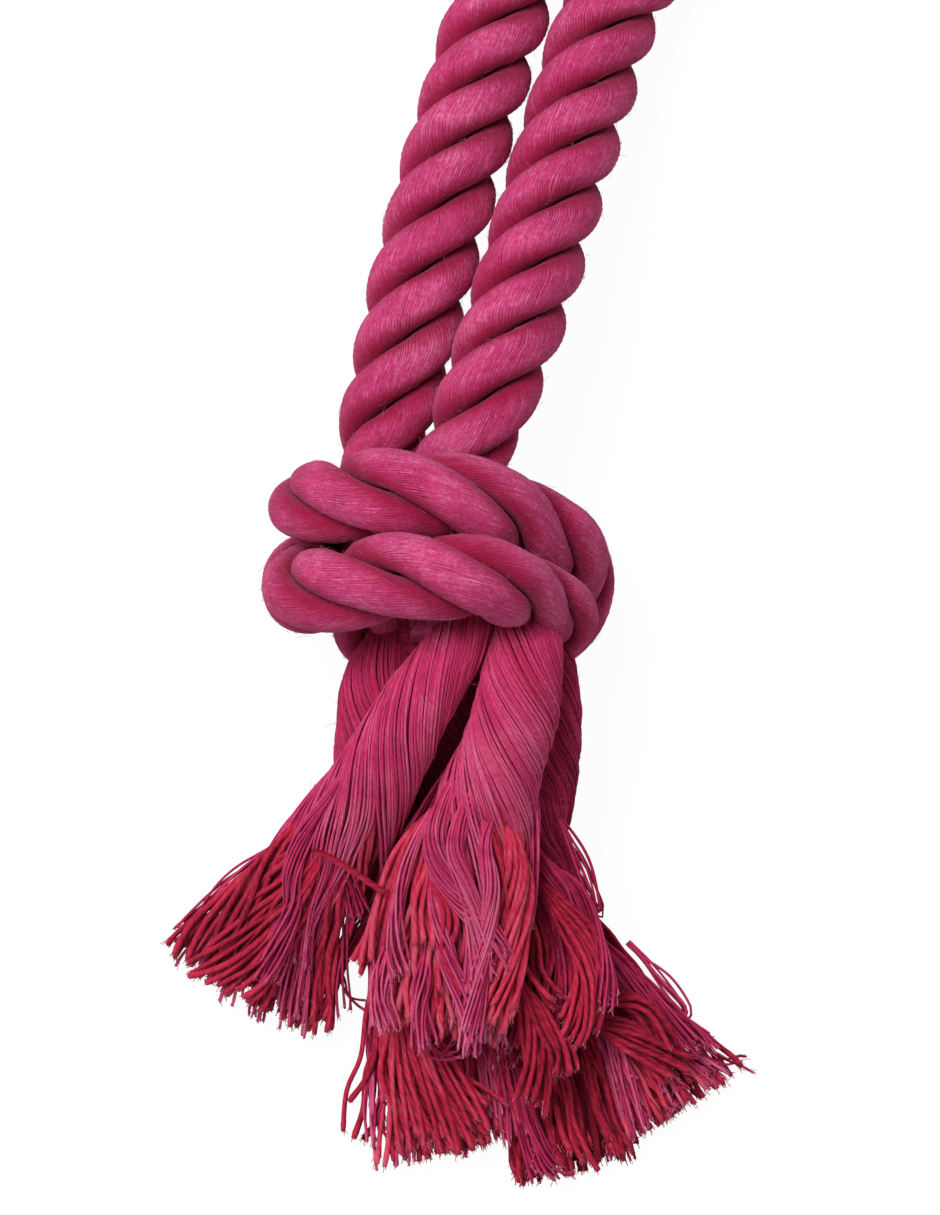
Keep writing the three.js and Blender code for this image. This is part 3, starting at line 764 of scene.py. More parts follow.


# The tassels

# Where the tassels lie: x and y from the knot's middle, height over the floor, width and
# thickness, in shares of the tightened diameter. They follow the part's source, and those that
# the photograph shows start full under the knot's lower pass. lay is one turn of the yarns
# round the bundle where they are tightest, at the share twist_at of its length. slant is how
# much shorter the yarns at its right are cut. tone is how pale they are, those that lie in the
# shade of the others painted darker as shade, and paling how much paler at their ends.
# gather is how much the cover yarns draw into locks where it opens.
TASSELS = [
    {
        "name": "front_left", "rope": "left", "strand": 2,
        "lay": 82 * MM, "twist_at": 0.28, "twist_reach": 0.4, "opens_at": 0.6, "slant": 0.0,
        "tone": -0.02, "paling": 0.1, "gather": 0.85,
        "rows": [
            [0.5, -0.35, 2.1, 0.5, 0.45],
            [0.34, -0.6, 2.55, 0.62, 0.6],
            [0.16, -0.9, 2.78, 0.7, 0.68],
            [-0.08, -1.25, 2.84, 0.78, 0.75],
            [-0.36, -1.7, 2.72, 0.86, 0.8],
            [-0.74, -2.4, 2.3, 1.0, 0.85],
            [-1.12, -3.05, 1.78, 1.14, 0.8],
            [-1.34, -3.5, 1.45, 1.35, 0.75],
            [-1.75, -4.2, 0.85, 1.7, 0.7],
            [-2.2, -5.05, 0.27, 2.2, 0.65],
        ],
    },
    {
        "name": "front_middle", "rope": "right", "strand": 0,
        "lay": 50 * MM, "twist_at": 0.34, "twist_reach": 0.22, "opens_at": 0.56, "slant": -0.06,
        "tone": -0.05, "paling": 0.34, "gather": 0.55,
        "rows": [
            [0.95, -0.4, 1.9, 0.5, 0.5],
            [1.02, -0.55, 2.45, 0.66, 0.66],
            [1.0, -0.85, 2.8, 0.82, 0.78],
            [0.94, -1.25, 2.86, 0.94, 0.85],
            [0.86, -1.7, 2.75, 1.0, 0.85],
            [0.7, -2.2, 2.5, 1.0, 0.85],
            [0.48, -2.8, 2.22, 1.24, 0.85],
            [0.26, -3.6, 1.85, 1.5, 0.8],
            [0.02, -4.7, 1.36, 1.58, 0.75],
            [-0.04, -5.62, 1.2, 1.62, 0.65],
        ],
    },
    {
        "name": "back_left", "rope": "left", "strand": 1,
        "lay": 70 * MM, "twist_at": 0.2, "twist_reach": 0.3, "opens_at": 0.55, "slant": 0.03,
        "tone": -0.15, "paling": 0.3, "gather": 0.7,
        "rows": [
            [-0.35, -0.7, 2.0, 0.6, 0.5],
            [-0.68, -1.2, 1.95, 0.82, 0.65],
            [-0.78, -1.8, 1.75, 0.86, 0.65],
            [-0.78, -2.6, 1.25, 0.88, 0.65],
            [-0.5, -3.8, 0.6, 0.9, 0.65],
            [-0.13, -4.8, 0.42, 1.2, 0.65],
            [0.08, -5.8, 0.3, 1.55, 0.6],
            [0.2, -6.98, 0.25, 1.9, 0.6],
        ],
    },
    {
        "name": "middle_right", "rope": "right", "strand": 2,
        "lay": 62 * MM, "twist_at": 0.2, "twist_reach": 0.3, "opens_at": 0.45, "slant": 0.16,
        "tone": -0.22, "paling": 0.02, "gather": 0.8,
        "rows": [
            [1.2, -0.9, 2.0, 0.6, 0.5],
            [1.3, -1.6, 2.02, 0.68, 0.6],
            [1.22, -2.4, 1.62, 0.76, 0.6],
            [1.1, -3.1, 1.3, 0.84, 0.6],
            [1.22, -3.9, 1.1, 1.0, 0.6],
            [1.33, -4.7, 1.0, 1.15, 0.6],
            [1.22, -5.95, 0.92, 1.2, 0.6],
        ],
    },
    {
        "name": "back_right", "rope": "right", "strand": 1,
        "lay": 75 * MM, "twist_at": 0.2, "twist_reach": 0.3, "opens_at": 0.42, "slant": 0.0,
        "tone": -0.07, "paling": 0.16, "gather": 0.75,
        "rows": [
            [0.93, -1.9, 1.2, 0.65, 0.6],
            [1.02, -2.8, 0.65, 0.75, 0.6],
            [1.18, -3.6, 0.45, 0.75, 0.6],
            [1.56, -4.4, 0.4, 0.9, 0.6],
            [2.16, -5.3, 0.33, 1.25, 0.6],
            [2.86, -6.36, 0.25, 1.85, 0.6],
        ],
    },
    {
        "name": "back_middle", "rope": "left", "strand": 0,
        "lay": 75 * MM, "twist_at": 0.2, "twist_reach": 0.3, "opens_at": 0.55, "slant": 0.0,
        "tone": -0.22, "paling": 0.08, "gather": 0.7,
        "rows": [
            [0.2, -1.3, 2.05, 0.5, 0.45],
            [0.22, -1.9, 1.45, 0.85, 0.6],
            [0.18, -2.9, 0.8, 1.05, 0.6],
            [0.55, -3.9, 0.45, 0.95, 0.6],
            [1.05, -4.95, 0.38, 1.0, 0.6],
            [1.36, -6.1, 0.29, 1.4, 0.6],
            [1.6, -7.1, 0.25, 1.75, 0.6],
        ],
    },
]


def strand_end(end, strand):
    """The middle of a strand at one end of the rope, and the way out of that end."""
    row = 0 if end == "left" else -1
    along = tangents(rope[:, :3])[row]
    up = np.cross(along, rope_sides[row])
    turn = rope_turn[row] + STRAND_TURNS[strand]
    out = math.cos(turn) * rope_sides[row] + math.sin(turn) * up
    middle = rope[row, :3] + MIDDLE + CROWN_OFFSET_SHARE * rope[row, 3] * out
    return middle, (-along if end == "left" else along)


def bundle(tassel):
    """A tassel's line at even steps: places, width, thickness, across, upward and twist."""
    start, outward = strand_end(tassel["rope"], tassel["strand"])
    wide = START_WIDTH_SHARE * TIGHT_DIAMETER
    rows = np.array(tassel["rows"]) * TIGHT_DIAMETER
    rows[:, :2] += MIDDLE[:2]
    line = evenly(smooth_through(np.vstack([[*start, wide, wide], rows])), YARN_STEP)
    along = tangents(line[:, :3])
    across = units(np.cross(along, [0.0, 0.0, 1.0]))
    upward = np.cross(across, along)
    share = np.linspace(0, 1, len(line))
    tightness = np.exp(-(((share - tassel["twist_at"]) / tassel["twist_reach"]) ** 2))
    twist = np.cumsum(2 * math.pi / tassel["lay"] * tightness * YARN_STEP)
    return np.hstack([line, across, upward, twist[:, None]])


def eased(share, low, high):
    """From 0 to 1 between two shares, without corners."""
    t = ramp(share, low, high)
    return t * t * (3 - 2 * t)


# How the locks of a tassel behave, in shares: how fast they stray along it, how
# differently they draw together, how much of that they lose at their ends, how far in it takes
# them, how much they widen at their ends, and how much of its waves a yarn has in the bundle.
STRAY_SPEEDS = [3, 7]
GATHER_RANGE = [0.7, 1.15]
RELEASE, INSET, FLARE, HELD_WAVES = 0.35, 0.12, 0.9, 0.3


def yarn_lines(tassel, line, disc, lock, reach, diameter, gather, stray, spring, crimp):
    """Yarns that keep their place in the bundle's twisting section: lines and ways outward.

    lock numbers the yarns that part from the bundle together, and gather is how much they
    draw together into a round lock of their own, and stray how far such locks leave their
    places. spring and crimp are a yarn's own wide and fine waves at its open end.
    """
    end = -line[-1, 11]
    right = disc[:, 0] * math.cos(end) - disc[:, 1] * math.sin(end)
    lengths = reach * (1 - (abs(tassel["slant"]) + tassel["slant"] * right) / 2)
    grid = np.linspace(0, 1, len(line))
    share = lengths[:, None] * grid
    rows = np.stack([np.interp(share, grid, column) for column in line.T], -1)
    opened = eased(share, tassel["opens_at"] + OPENING[0], tassel["opens_at"] + OPENING[1])
    loosened = eased(share, *LOOSENING)
    count = lock.max() + 1
    middles = np.stack([disc[lock == k].mean(0) for k in range(count)])[lock][:, None]
    phase = random.uniform(0, 2 * math.pi, (count, 2))[lock][:, None]
    speed = random.uniform(*STRAY_SPEEDS, (count, 2))[lock][:, None]
    drift = stray * opened[..., None] * (np.sin(speed * share[..., None] + phase) - np.sin(phase))
    inside = 1 / (1 + 0.5 * np.abs(drift))
    spin = (random.uniform(-1, 1, count) * LOCK_SPIN)[lock][:, None] * opened
    gathers = (gather * random.uniform(*GATHER_RANGE, count))[lock][:, None]
    held = (gathers * opened * (1 - RELEASE * loosened))[..., None]
    place = (middles * (1 - INSET * held) + drift) * inside
    own = (disc[:, None] - middles) * (1 - held)
    place = place + own + random.normal(0, FRAY, (len(disc), 1, 2)) * loosened[..., None]
    turn = -rows[..., 11]
    x = (place[..., 0] * np.cos(turn) - place[..., 1] * np.sin(turn)) * rows[..., 3] / 2
    y = (place[..., 0] * np.sin(turn) + place[..., 1] * np.cos(turn)) * rows[..., 4] / 2
    rank = np.zeros(len(disc))
    for k in range(count):
        rank[lock == k] = np.argsort(random.random((lock == k).sum()))
    ring = PACKING * diameter * np.sqrt(rank + 0.5)[:, None] * held[..., 0]
    ring = ring * (1 + FLARE * loosened)
    way = GOLDEN_ANGLE * rank[:, None] + spin
    # The ways outward say where yarn_part paints each yarn paler, and darker as shade where it faces
    # in.
    faced = units(np.stack([x / rows[..., 3] ** 2, y / rows[..., 4] ** 2], -1))
    faced = faced + held * np.stack([np.cos(way), np.sin(way)], -1)
    x = x + ring * np.cos(way)
    y = y + ring * np.sin(way)
    along = share * YARN_STEP * (len(line) - 1)
    for size, lengths in ((spring, SPRING_LENGTHS), (crimp, CRIMP_LENGTHS)):
        wave = 2 * math.pi / random.uniform(*lengths, (len(disc), 2))
        start = random.uniform(0, 2 * math.pi, (len(disc), 2))
        loose = size * (HELD_WAVES + (1 - HELD_WAVES) * opened)
        x = x + loose * np.sin(wave[:, :1] * along + start[:, :1])
        y = y + loose * np.sin(wave[:, 1:] * along + start[:, 1:])
    lines = rows[..., :3] - rows[..., 5:8] * x[..., None] + rows[..., 8:11] * y[..., None]
    return lines, units(-rows[..., 5:8] * faced[..., :1] + rows[..., 8:11] * faced[..., 1:])


def yarn_part(lines, outward, diameter, corners, tones, paling, look):
    """Yarns as tubes over the floor, blunt, painted darker as shade where they turn in between the
    others.
    """
    girth = np.ones(lines.shape[1])
    girth[-3:] = [1.06, 1.15, 0.9]
    radii = diameter / 2 * random.uniform(0.85, 1.15, (len(lines), 1)) * girth
    lines[..., 2] = np.maximum(lines[..., 2], radii)
    part = yarn_tubes(lines, radii, corners)
    round_line = part["points"].reshape(*lines.shape[:2], corners, 3) - lines[:, :, None]
    facing = np.sum(units(round_line) * outward[:, :, None], -1)
    pale = paling * np.linspace(-0.3, 1, lines.shape[1])
    pale[-3:] += [0.03, 0.07, 0.1]
    # Painted shade: each yarn darker on the side that turns in between the others, paler on its outward
    # side.
    part["tone"] = (tones[:, None] + pale)[..., None] + YARN_SHADE * (facing - 0.7)
    part["look"] = look
    return part


# How the yarns of a tassel differ from each other: their tones, how much darker the inner
# ones are painted, as shade inside the bundle, and how much shorter some are cut, in shares
# of the tassel's length.
LOCK_TONE, COVER_TONE, INNER_SHADE = 0.06, 0.1, 0.12
CORE_TONE, CORE_SHADE = 0.2, 0.35
COVER_CUT, CORE_CUT = 0.06, 0.05
SHORT_YARNS, SHORT_CUT = 0.3, [0.03, 0.2]
UNEVEN = 0.03  # in places and radii


def make_tassel(tassel):
    """One tassel's piece, with the lines of its cover yarns and of its core yarns."""
    line = bundle(tassel)
    number = np.arange(COVER_YARNS)
    outer = number < OUTER_YARNS
    inner_yarns = COVER_YARNS - OUTER_YARNS
    angle = np.where(outer, number / OUTER_YARNS, (number - OUTER_YARNS) / inner_yarns)
    angle = 2 * math.pi * angle + random.uniform(-UNEVEN, UNEVEN, COVER_YARNS)
    radius = np.where(outer, *COVER_RADII) + random.uniform(-UNEVEN, UNEVEN, COVER_YARNS)
    cover = np.stack([radius * np.cos(angle), radius * np.sin(angle)], 1)
    edges = (np.arange(COVER_LOCKS) + random.uniform(0.1, 0.9, COVER_LOCKS)) / COVER_LOCKS
    cover_lock = np.searchsorted(2 * math.pi * edges, angle % (2 * math.pi)) % COVER_LOCKS
    lengths = 1 - random.uniform(0, COVER_CUT, COVER_YARNS)
    short = random.random(COVER_YARNS) < SHORT_YARNS
    lengths[short] -= random.uniform(*SHORT_CUT, short.sum())
    spiral = GOLDEN_ANGLE * np.arange(CORE_YARNS)
    core_radius = CORE_RADIUS * np.sqrt((np.arange(CORE_YARNS) + 0.5) / CORE_YARNS)
    core = np.stack([core_radius * np.cos(spiral), core_radius * np.sin(spiral)], 1)
    core_lock = np.floor((spiral % (2 * math.pi)) / (2 * math.pi) * CORE_LOCKS).astype(int)
    core_lengths = 1 - random.uniform(0, CORE_CUT, CORE_YARNS)
    cover_lines, cover_outward = yarn_lines(
        tassel, line, cover, cover_lock, lengths, COVER_DIAMETER,
        gather=tassel["gather"], stray=0.3, spring=0.4 * MM, crimp=0.06 * MM,
    )
    core_lines, core_outward = yarn_lines(
        tassel, line, core, core_lock, core_lengths, CORE_DIAMETER,
        gather=0.1, stray=0.16, spring=0.8 * MM, crimp=0.17 * MM,
    )
    lock_tones = random.uniform(-LOCK_TONE, LOCK_TONE, COVER_LOCKS)[cover_lock] + tassel["tone"]
    cover_tones = lock_tones + random.uniform(-COVER_TONE, COVER_TONE, COVER_YARNS)
    # Painted shade: the inner layer of cover yarns and the core yarns nearer the middle are darker.
    cover_tones -= INNER_SHADE * ~outer
    core_tones = random.uniform(-CORE_TONE, CORE_TONE, CORE_YARNS) + tassel["tone"]
    core_tones -= CORE_SHADE * (1 - core_radius / core_radius.max())
    parts = [
        yarn_part(cover_lines, cover_outward, COVER_DIAMETER, 5, cover_tones, tassel["paling"], 0),
        yarn_part(core_lines, core_outward, CORE_DIAMETER, 6, core_tones, tassel["paling"], 1),
    ]
    piece = made_mesh(f"{tassel['name']}_yarns", parts, [COVER_COTTON, CORE_COTTON], ["tone"])
    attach(piece, "root")
    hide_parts(f"tassel_{tassel['name']}")
    return piece, cover_lines, core_lines


tassels, cover_lines, core_lines = zip(*[make_tassel(tassel) for tassel in TASSELS])


# Fuzz


def fibre_part(roots, normals, bend, length, lift, tones):
    """Short stray fibres that lie close over a round surface."""
    count = len(roots)
    heading = units(np.cross(normals, random.normal(size=(count, 3))))
    sideways = np.cross(normals, heading)
    share = np.linspace(-0.5, 0.5, 6)
    span = length[:, None] * share
    curl = random.normal(0, FIBRE_CURL, (count, 1)) * length[:, None] * (share**2 * 4)
    rise = lift[:, None] * (0.3 + 1.4 * np.abs(share + random.uniform(-0.3, 0.3, (count, 1))))
    rise = rise - span**2 / (2 * bend)
    lines = roots[:, None] + heading[:, None] * span[..., None]
    lines = lines + sideways[:, None] * curl[..., None] + normals[:, None] * rise[..., None]
    lines[..., 2] = np.maximum(lines[..., 2], FLOOR_CLEARANCE)
    part = yarn_tubes(lines, FIBRE_DIAMETER / 2, 3)
    part["tone"] = np.repeat(tones, len(part["points"]) // count)
    return part


def make_rope_fuzz():
    """Fibres on the outward sides of the laid rope's strands."""
    count = ROPE_FIBRES
    strand = random.integers(0, STRANDS, count)
    row = random.integers(1, strand_skins.shape[1] - 1, count)
    corner = random.integers(2, FRONT_CORNERS - 2, count)
    roots = strand_skins[strand, row, corner]
    forward = strand_skins[strand, row + 1, corner] - strand_skins[strand, row - 1, corner]
    around = strand_skins[strand, row, corner + 1] - strand_skins[strand, row, corner - 1]
    part = fibre_part(
        roots, units(np.cross(around, forward)), ROPE_BEND, random.uniform(*FIBRE_LENGTHS, count),
        random.exponential(ROPE_LIFT, count), random.uniform(-0.4, 0.2, count),
    )
    piece = made_mesh("rope_fuzz", [part], [FIBRE_COTTON], ["tone"])
    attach(piece, "root")
    return piece


rope_fuzz = make_rope_fuzz()


def make_tassel_fuzz():
    """Fibres round the outer yarns of the tassels."""
    parts = []
    for lines in cover_lines:
        count = TASSEL_FIBRES // len(cover_lines)
        yarn = random.integers(0, OUTER_YARNS, count)
        row = random.integers(2, lines.shape[1] - 2, count)
        roots = lines[yarn, row]
        middles = lines[:OUTER_YARNS, row].mean(0)
        lift = random.exponential(TASSEL_LIFT, count) + COVER_DIAMETER / 2
        parts.append(fibre_part(
            roots, units(roots - middles), TASSEL_BEND, random.uniform(*FIBRE_LENGTHS, count),
            lift, random.uniform(-0.4, 0.1, count),
        ))
    piece = made_mesh("tassel_fuzz", parts, [FIBRE_COTTON], ["tone"])
    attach(piece, "root")
    return piece


tassel_fuzz = make_tassel_fuzz()


# Loose yarns

# Locks of yarns that lie over the tassels, and single yarns that have come out of them. Each
# group has its tone, and each lock its number of yarns, how loosely they lie together, their
# material's number, and rows of x, y and height as for the tassels.
LOOSE_YARNS = [
    # over the front middle tassel
    (0.08, [
        (34, 0.98, 0, [[0.5, -1.85, 2.5], [0.26, -2.3, 2.55], [0.06, -2.7, 2.56], [-0.06, -3.05, 2.55],
            [0.0, -3.42, 2.42], [0.2, -3.75, 2.3], [0.48, -4.05, 2.15], [0.62, -4.35, 2.02],
            [0.72, -4.68, 1.88]]),
        (24, 0.95, 0, [[0.7, -1.8, 2.6], [0.5, -2.3, 2.66], [0.3, -2.75, 2.62], [0.18, -3.2, 2.55],
            [0.3, -3.6, 2.4], [0.42, -4.05, 2.2], [0.46, -4.5, 2.0], [0.4, -5.0, 1.84]]),
        (20, 0.95, 0, [[0.9, -1.9, 2.6], [0.72, -2.45, 2.6], [0.56, -2.9, 2.56], [0.52, -3.2, 2.52],
            [0.6, -3.65, 2.42], [0.56, -4.1, 2.2], [0.45, -4.7, 1.97], [0.36, -5.3, 1.82],
            [0.33, -5.72, 1.68]]),
        (9, 1.4, 0, [[-0.1, -2.75, 2.3], [-0.3, -3.2, 2.3], [-0.48, -3.8, 2.05], [-0.52, -4.35, 1.83],
            [-0.42, -4.8, 1.72]]),
        (11, 1.3, 0, [[-0.1, -3.2, 2.3], [-0.05, -3.9, 2.2], [0.1, -4.5, 2.0], [0.3, -5.1, 1.82],
            [0.37, -5.66, 1.68]]),
        (14, 1.5, 0, [[-0.5, -4.1, 1.7], [-0.62, -4.6, 1.66], [-0.7, -5.0, 1.6], [-0.64, -5.4, 1.52]]),
        (10, 1.5, 0, [[-0.15, -4.3, 1.85], [-0.2, -4.8, 1.76], [-0.22, -5.2, 1.68],
            [-0.14, -5.6, 1.6]]),
        (7, 1.1, 1, [[0.1, -2.6, 2.2], [-0.28, -3.05, 2.2], [-0.52, -3.5, 2.02], [-0.72, -4.05, 1.8],
            [-0.9, -4.72, 1.5]]),
        (4, 1.1, 1, [[-0.14, -3.3, 2.3], [-0.22, -3.9, 2.16], [-0.16, -4.4, 2.0]]),
        (4, 1.3, 1, [[-0.12, -3.6, 2.25], [0.08, -3.95, 2.2], [0.04, -4.45, 2.0], [0.16, -5.0, 1.84]]),
        (14, 1.0, 1, [[0.66, -2.66, 2.3], [0.76, -2.92, 2.44], [0.86, -3.2, 2.42], [0.92, -3.6, 2.24],
            [0.86, -4.2, 1.98], [0.75, -4.8, 1.82], [0.62, -5.35, 1.7]]),
        (8, 1.2, 0, [[0.9, -2.1, 2.1], [1.08, -2.6, 2.3], [1.1, -3.1, 2.2], [1.02, -3.75, 1.98],
            [0.92, -4.4, 1.8]]),
    ]),
    # over the middle right tassel
    (-0.12, [
        (22, 1.15, 0, [[0.95, -3.0, 1.6], [1.28, -3.45, 1.72], [1.54, -3.72, 1.62], [1.76, -4.15, 1.5],
            [1.88, -4.6, 1.44], [1.93, -5.15, 1.34]]),
        (15, 1.0, 1, [[1.0, -3.4, 1.5], [1.38, -3.85, 1.6], [1.66, -4.3, 1.5], [1.76, -4.8, 1.4],
            [1.64, -5.25, 1.3], [1.44, -5.5, 1.22]]),
        (3, 1.4, 1, [[1.05, -3.7, 1.7], [1.05, -4.5, 1.6], [1.2, -4.85, 1.55], [1.4, -5.1, 1.5]]),
        (9, 1.05, 1, [[0.75, -4.5, 1.4], [1.0, -5.1, 1.38], [1.12, -5.7, 1.25], [1.1, -6.35, 1.1]]),
        (6, 1.05, 1, [[0.9, -4.7, 1.5], [1.25, -5.3, 1.4], [1.42, -5.6, 1.32], [1.48, -6.0, 1.22]]),
    ]),
    # over the front left tassel
    (-0.1, [
        (18, 1.15, 0, [[-1.0, -2.2, 2.5], [-1.3, -2.6, 2.4], [-1.58, -3.05, 2.06], [-1.72, -3.5, 1.95],
            [-1.72, -3.9, 1.66], [-1.88, -4.4, 1.3], [-2.05, -4.86, 0.95]]),
        (13, 1.3, 0, [[-1.5, -2.85, 1.7], [-2.05, -3.32, 1.42], [-2.48, -3.68, 1.08],
            [-2.85, -4.08, 0.7], [-3.16, -4.38, 0.42]]),
        (13, 1.35, 1, [[-1.35, -2.7, 1.95], [-1.78, -3.2, 1.72], [-2.2, -3.7, 1.32],
            [-2.65, -4.15, 0.82], [-3.06, -4.56, 0.45]]),
        (14, 1.4, 1, [[-1.3, -2.8, 1.95], [-1.68, -3.4, 1.8], [-2.05, -3.95, 1.26],
            [-2.45, -4.45, 0.94], [-2.8, -4.86, 0.56]]),
        (13, 1.35, 1, [[-1.25, -2.9, 1.95], [-1.55, -3.55, 1.84], [-1.85, -4.15, 1.26],
            [-2.15, -4.65, 0.95], [-2.45, -5.08, 0.62]]),
        (9, 1.2, 0, [[-1.3, -2.9, 2.0], [-1.48, -3.65, 1.74], [-1.55, -4.15, 1.36],
            [-1.63, -4.65, 1.05]]),
        (7, 1.2, 0, [[-1.55, -3.2, 1.8], [-1.86, -4.0, 1.42], [-2.0, -4.45, 1.06], [-2.1, -4.9, 0.78]]),
        (12, 1.3, 0, [[-1.15, -2.9, 1.95], [-1.1, -3.4, 1.84], [-1.0, -3.75, 1.58],
            [-0.95, -4.05, 1.4]]),
        (3, 1.6, 0, [[-1.12, -3.5, 1.5], [-1.1, -4.2, 1.2], [-1.14, -4.8, 0.8], [-1.12, -5.3, 0.5]]),
        (8, 1.3, 0, [[-2.0, -4.3, 1.0], [-2.1, -4.85, 0.8], [-2.17, -5.28, 0.55]]),
        (6, 1.4, 0, [[-2.05, -3.5, 1.3], [-2.45, -3.78, 1.05], [-2.74, -4.08, 0.8],
            [-2.98, -4.4, 0.5]]),
    ]),
    # over the back right tassel
    (-0.1, [
        (18, 1.3, 0, [[1.55, -4.05, 0.75], [1.95, -4.45, 0.86], [2.4, -4.9, 0.8], [2.8, -5.3, 0.72],
            [3.2, -5.65, 0.6]]),
        (6, 1.2, 1, [[1.75, -5.0, 0.75], [2.3, -5.06, 0.88], [2.56, -5.33, 0.78], [2.7, -5.72, 0.66]]),
        (12, 1.1, 1, [[1.7, -5.2, 0.7], [2.2, -5.42, 0.8], [2.6, -5.7, 0.7], [2.86, -5.92, 0.6]]),
    ]),
    # over the back left tassel
    (0.04, [
        (14, 1.25, 1, [[-0.5, -4.9, 0.86], [-0.3, -5.4, 0.82], [0.0, -5.85, 0.74], [0.3, -6.2, 0.66],
            [0.62, -6.5, 0.56]]),
        (14, 1.25, 1, [[-0.55, -5.0, 0.82], [-0.4, -5.6, 0.78], [-0.15, -6.1, 0.7], [0.1, -6.5, 0.6],
            [0.36, -6.82, 0.5]]),
        (12, 1.25, 1, [[-0.6, -5.1, 0.8], [-0.55, -5.8, 0.74], [-0.35, -6.35, 0.62],
            [-0.14, -6.78, 0.5]]),
        (7, 1.3, 0, [[-0.62, -4.9, 0.7], [-0.58, -5.6, 0.72], [-0.44, -6.2, 0.66],
            [-0.24, -6.6, 0.56]]),
        (3, 1.6, 0, [[-0.22, -5.4, 1.3], [-0.12, -5.6, 1.2], [0.04, -5.68, 1.12], [0.2, -5.6, 1.08]]),
    ]),
    # over the back middle tassel
    (-0.12, [
        (7, 1.3, 0, [[0.95, -5.9, 0.4], [1.08, -6.5, 0.58], [1.3, -6.95, 0.52], [1.5, -7.12, 0.4]]),
    ]),
    # come out of the tassels
    (-0.1, [
        (1, 1.0, 1, [[-1.48, -3.23, 2.2], [-1.28, -3.32, 2.26], [-0.99, -3.5, 2.2], [-0.66, -3.7, 2.05],
            [-0.4, -3.8, 1.8]]),
        (7, 1.3, 0, [[1.15, -2.5, 1.6], [1.44, -2.98, 1.62], [1.66, -3.4, 1.54], [1.8, -3.8, 1.46],
            [1.84, -3.98, 1.4], [1.77, -3.9, 1.36], [1.62, -3.6, 1.3], [1.42, -3.3, 1.2]]),
        (5, 1.8, 0, [[2.2, -4.35, 0.75], [2.55, -4.72, 0.7], [2.8, -5.0, 0.62], [2.88, -5.18, 0.55],
            [2.76, -5.24, 0.5], [2.5, -5.05, 0.48]]),
        (1, 1.0, 1, [[-0.75, -4.7, 0.8], [-0.88, -5.2, 0.6], [-0.95, -5.7, 0.4], [-1.1, -6.1, 0.25],
            [-1.14, -6.6, 0.1]]),
        (2, 2.4, 1, [[-0.7, -4.9, 0.8], [-0.8, -5.5, 0.5], [-0.92, -6.0, 0.3], [-1.05, -6.35, 0.15]]),
        (2, 2.4, 1, [[-0.6, -5.3, 0.7], [-0.72, -5.9, 0.4], [-0.8, -6.4, 0.2], [-0.92, -6.78, 0.1]]),
        (5, 2.0, 0, [[-0.4, -5.7, 0.5], [-0.62, -6.1, 0.4], [-0.72, -6.4, 0.3], [-0.66, -6.7, 0.2]]),
        (2, 1.8, 0, [[-1.2, -4.6, 0.6], [-1.12, -4.95, 0.5], [-0.98, -5.1, 0.4], [-0.8, -5.15, 0.4]]),
        (1, 1.0, 0, [[2.9, -5.3, 0.5], [3.3, -5.7, 0.4], [3.6, -5.85, 0.3], [3.7, -5.9, 0.3]]),
        (2, 1.8, 0, [[2.9, -5.4, 0.45], [3.3, -5.72, 0.35], [3.52, -5.7, 0.3], [3.64, -5.74, 0.3]]),
    ]),
]


def lock_lines(rows, count, looseness, diameter):
    """Yarns wound loosely round one line: lines and ways outward.

    They start close together, where they come out of a tassel, and open towards their ends.
    """
    rows = np.array(rows) * TIGHT_DIAMETER
    rows[:, :2] += MIDDLE[:2]
    line = evenly(smooth_through(rows), LOOSE_STEP)
    along = tangents(line)
    grid = np.linspace(0, 1, len(line))
    share = (1 - random.uniform(0, LOOSE_CUT, (count, 1)) * (count > 1)) * grid
    middles = np.stack([np.interp(share, grid, column) for column in line.T], -1)
    along = units(np.stack([np.interp(share, grid, column) for column in along.T], -1))
    across = units(np.cross(along, [0.0, 0.0, 1.0]))
    upward = np.cross(across, along)
    rank = np.arange(count)[:, None] + 0.5 * (count > 1)
    reach = share * reaches(line)[-1]
    way = GOLDEN_ANGLE * rank + random.uniform(0, 6) + reach / LOOSE_TWIST * random.choice([-1, 1])
    ring = PACKING * diameter * looseness * np.sqrt(rank)
    ring = ring * (1 + LOOSE_FLARE * eased(share, 0.6, 1.0))
    ring = ring * (LOOSE_CLOSE + (1 - LOOSE_CLOSE) * eased(share, 0.0, LOOSE_OPEN))
    wander = random.uniform(5, 11, (2, count, 1)) * share + random.uniform(0, 6, (2, count, 1))
    wander = looseness * np.sin(wander)
    x = LOOSE_OVAL[0] * ring * np.cos(way) + LOOSE_WANDER[0] * wander[0]
    y = LOOSE_OVAL[1] * ring * np.sin(way) + LOOSE_WANDER[1] * wander[1]
    lines = middles + across * x[..., None] + upward * y[..., None]
    # Ways outward lean upward, so the loose yarns are painted paler on top and darker underneath:
    # painted light and shade from above.
    outward = across * np.cos(way)[..., None] + upward * (np.sin(way)[..., None] + 0.8)
    return lines, units(outward)


def make_loose_yarns():
    """All the locks and single yarns as one piece, with the ends of each kind of yarn."""
    parts, ends = [], ([], [])
    locks = [(tone, *lock) for tone, group in LOOSE_YARNS for lock in group]
    for tone, count, looseness, look, rows in locks:
        diameter = (COVER_DIAMETER, CORE_DIAMETER)[look]
        lines, outward = lock_lines(rows, count, looseness, diameter)
        tones = tone + random.uniform(-0.08, 0.08) + random.uniform(-0.1, 0.1, count)
        parts.append(yarn_part(lines, outward, diameter, 5, tones, 0.0, look))
        ends[look].append(lines[:, -4:])
    piece = made_mesh("loose_yarns", parts, [COVER_COTTON, CORE_COTTON], ["tone"])
    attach(piece, "root")
    return piece, ends


loose_yarns, loose_ends = make_loose_yarns()


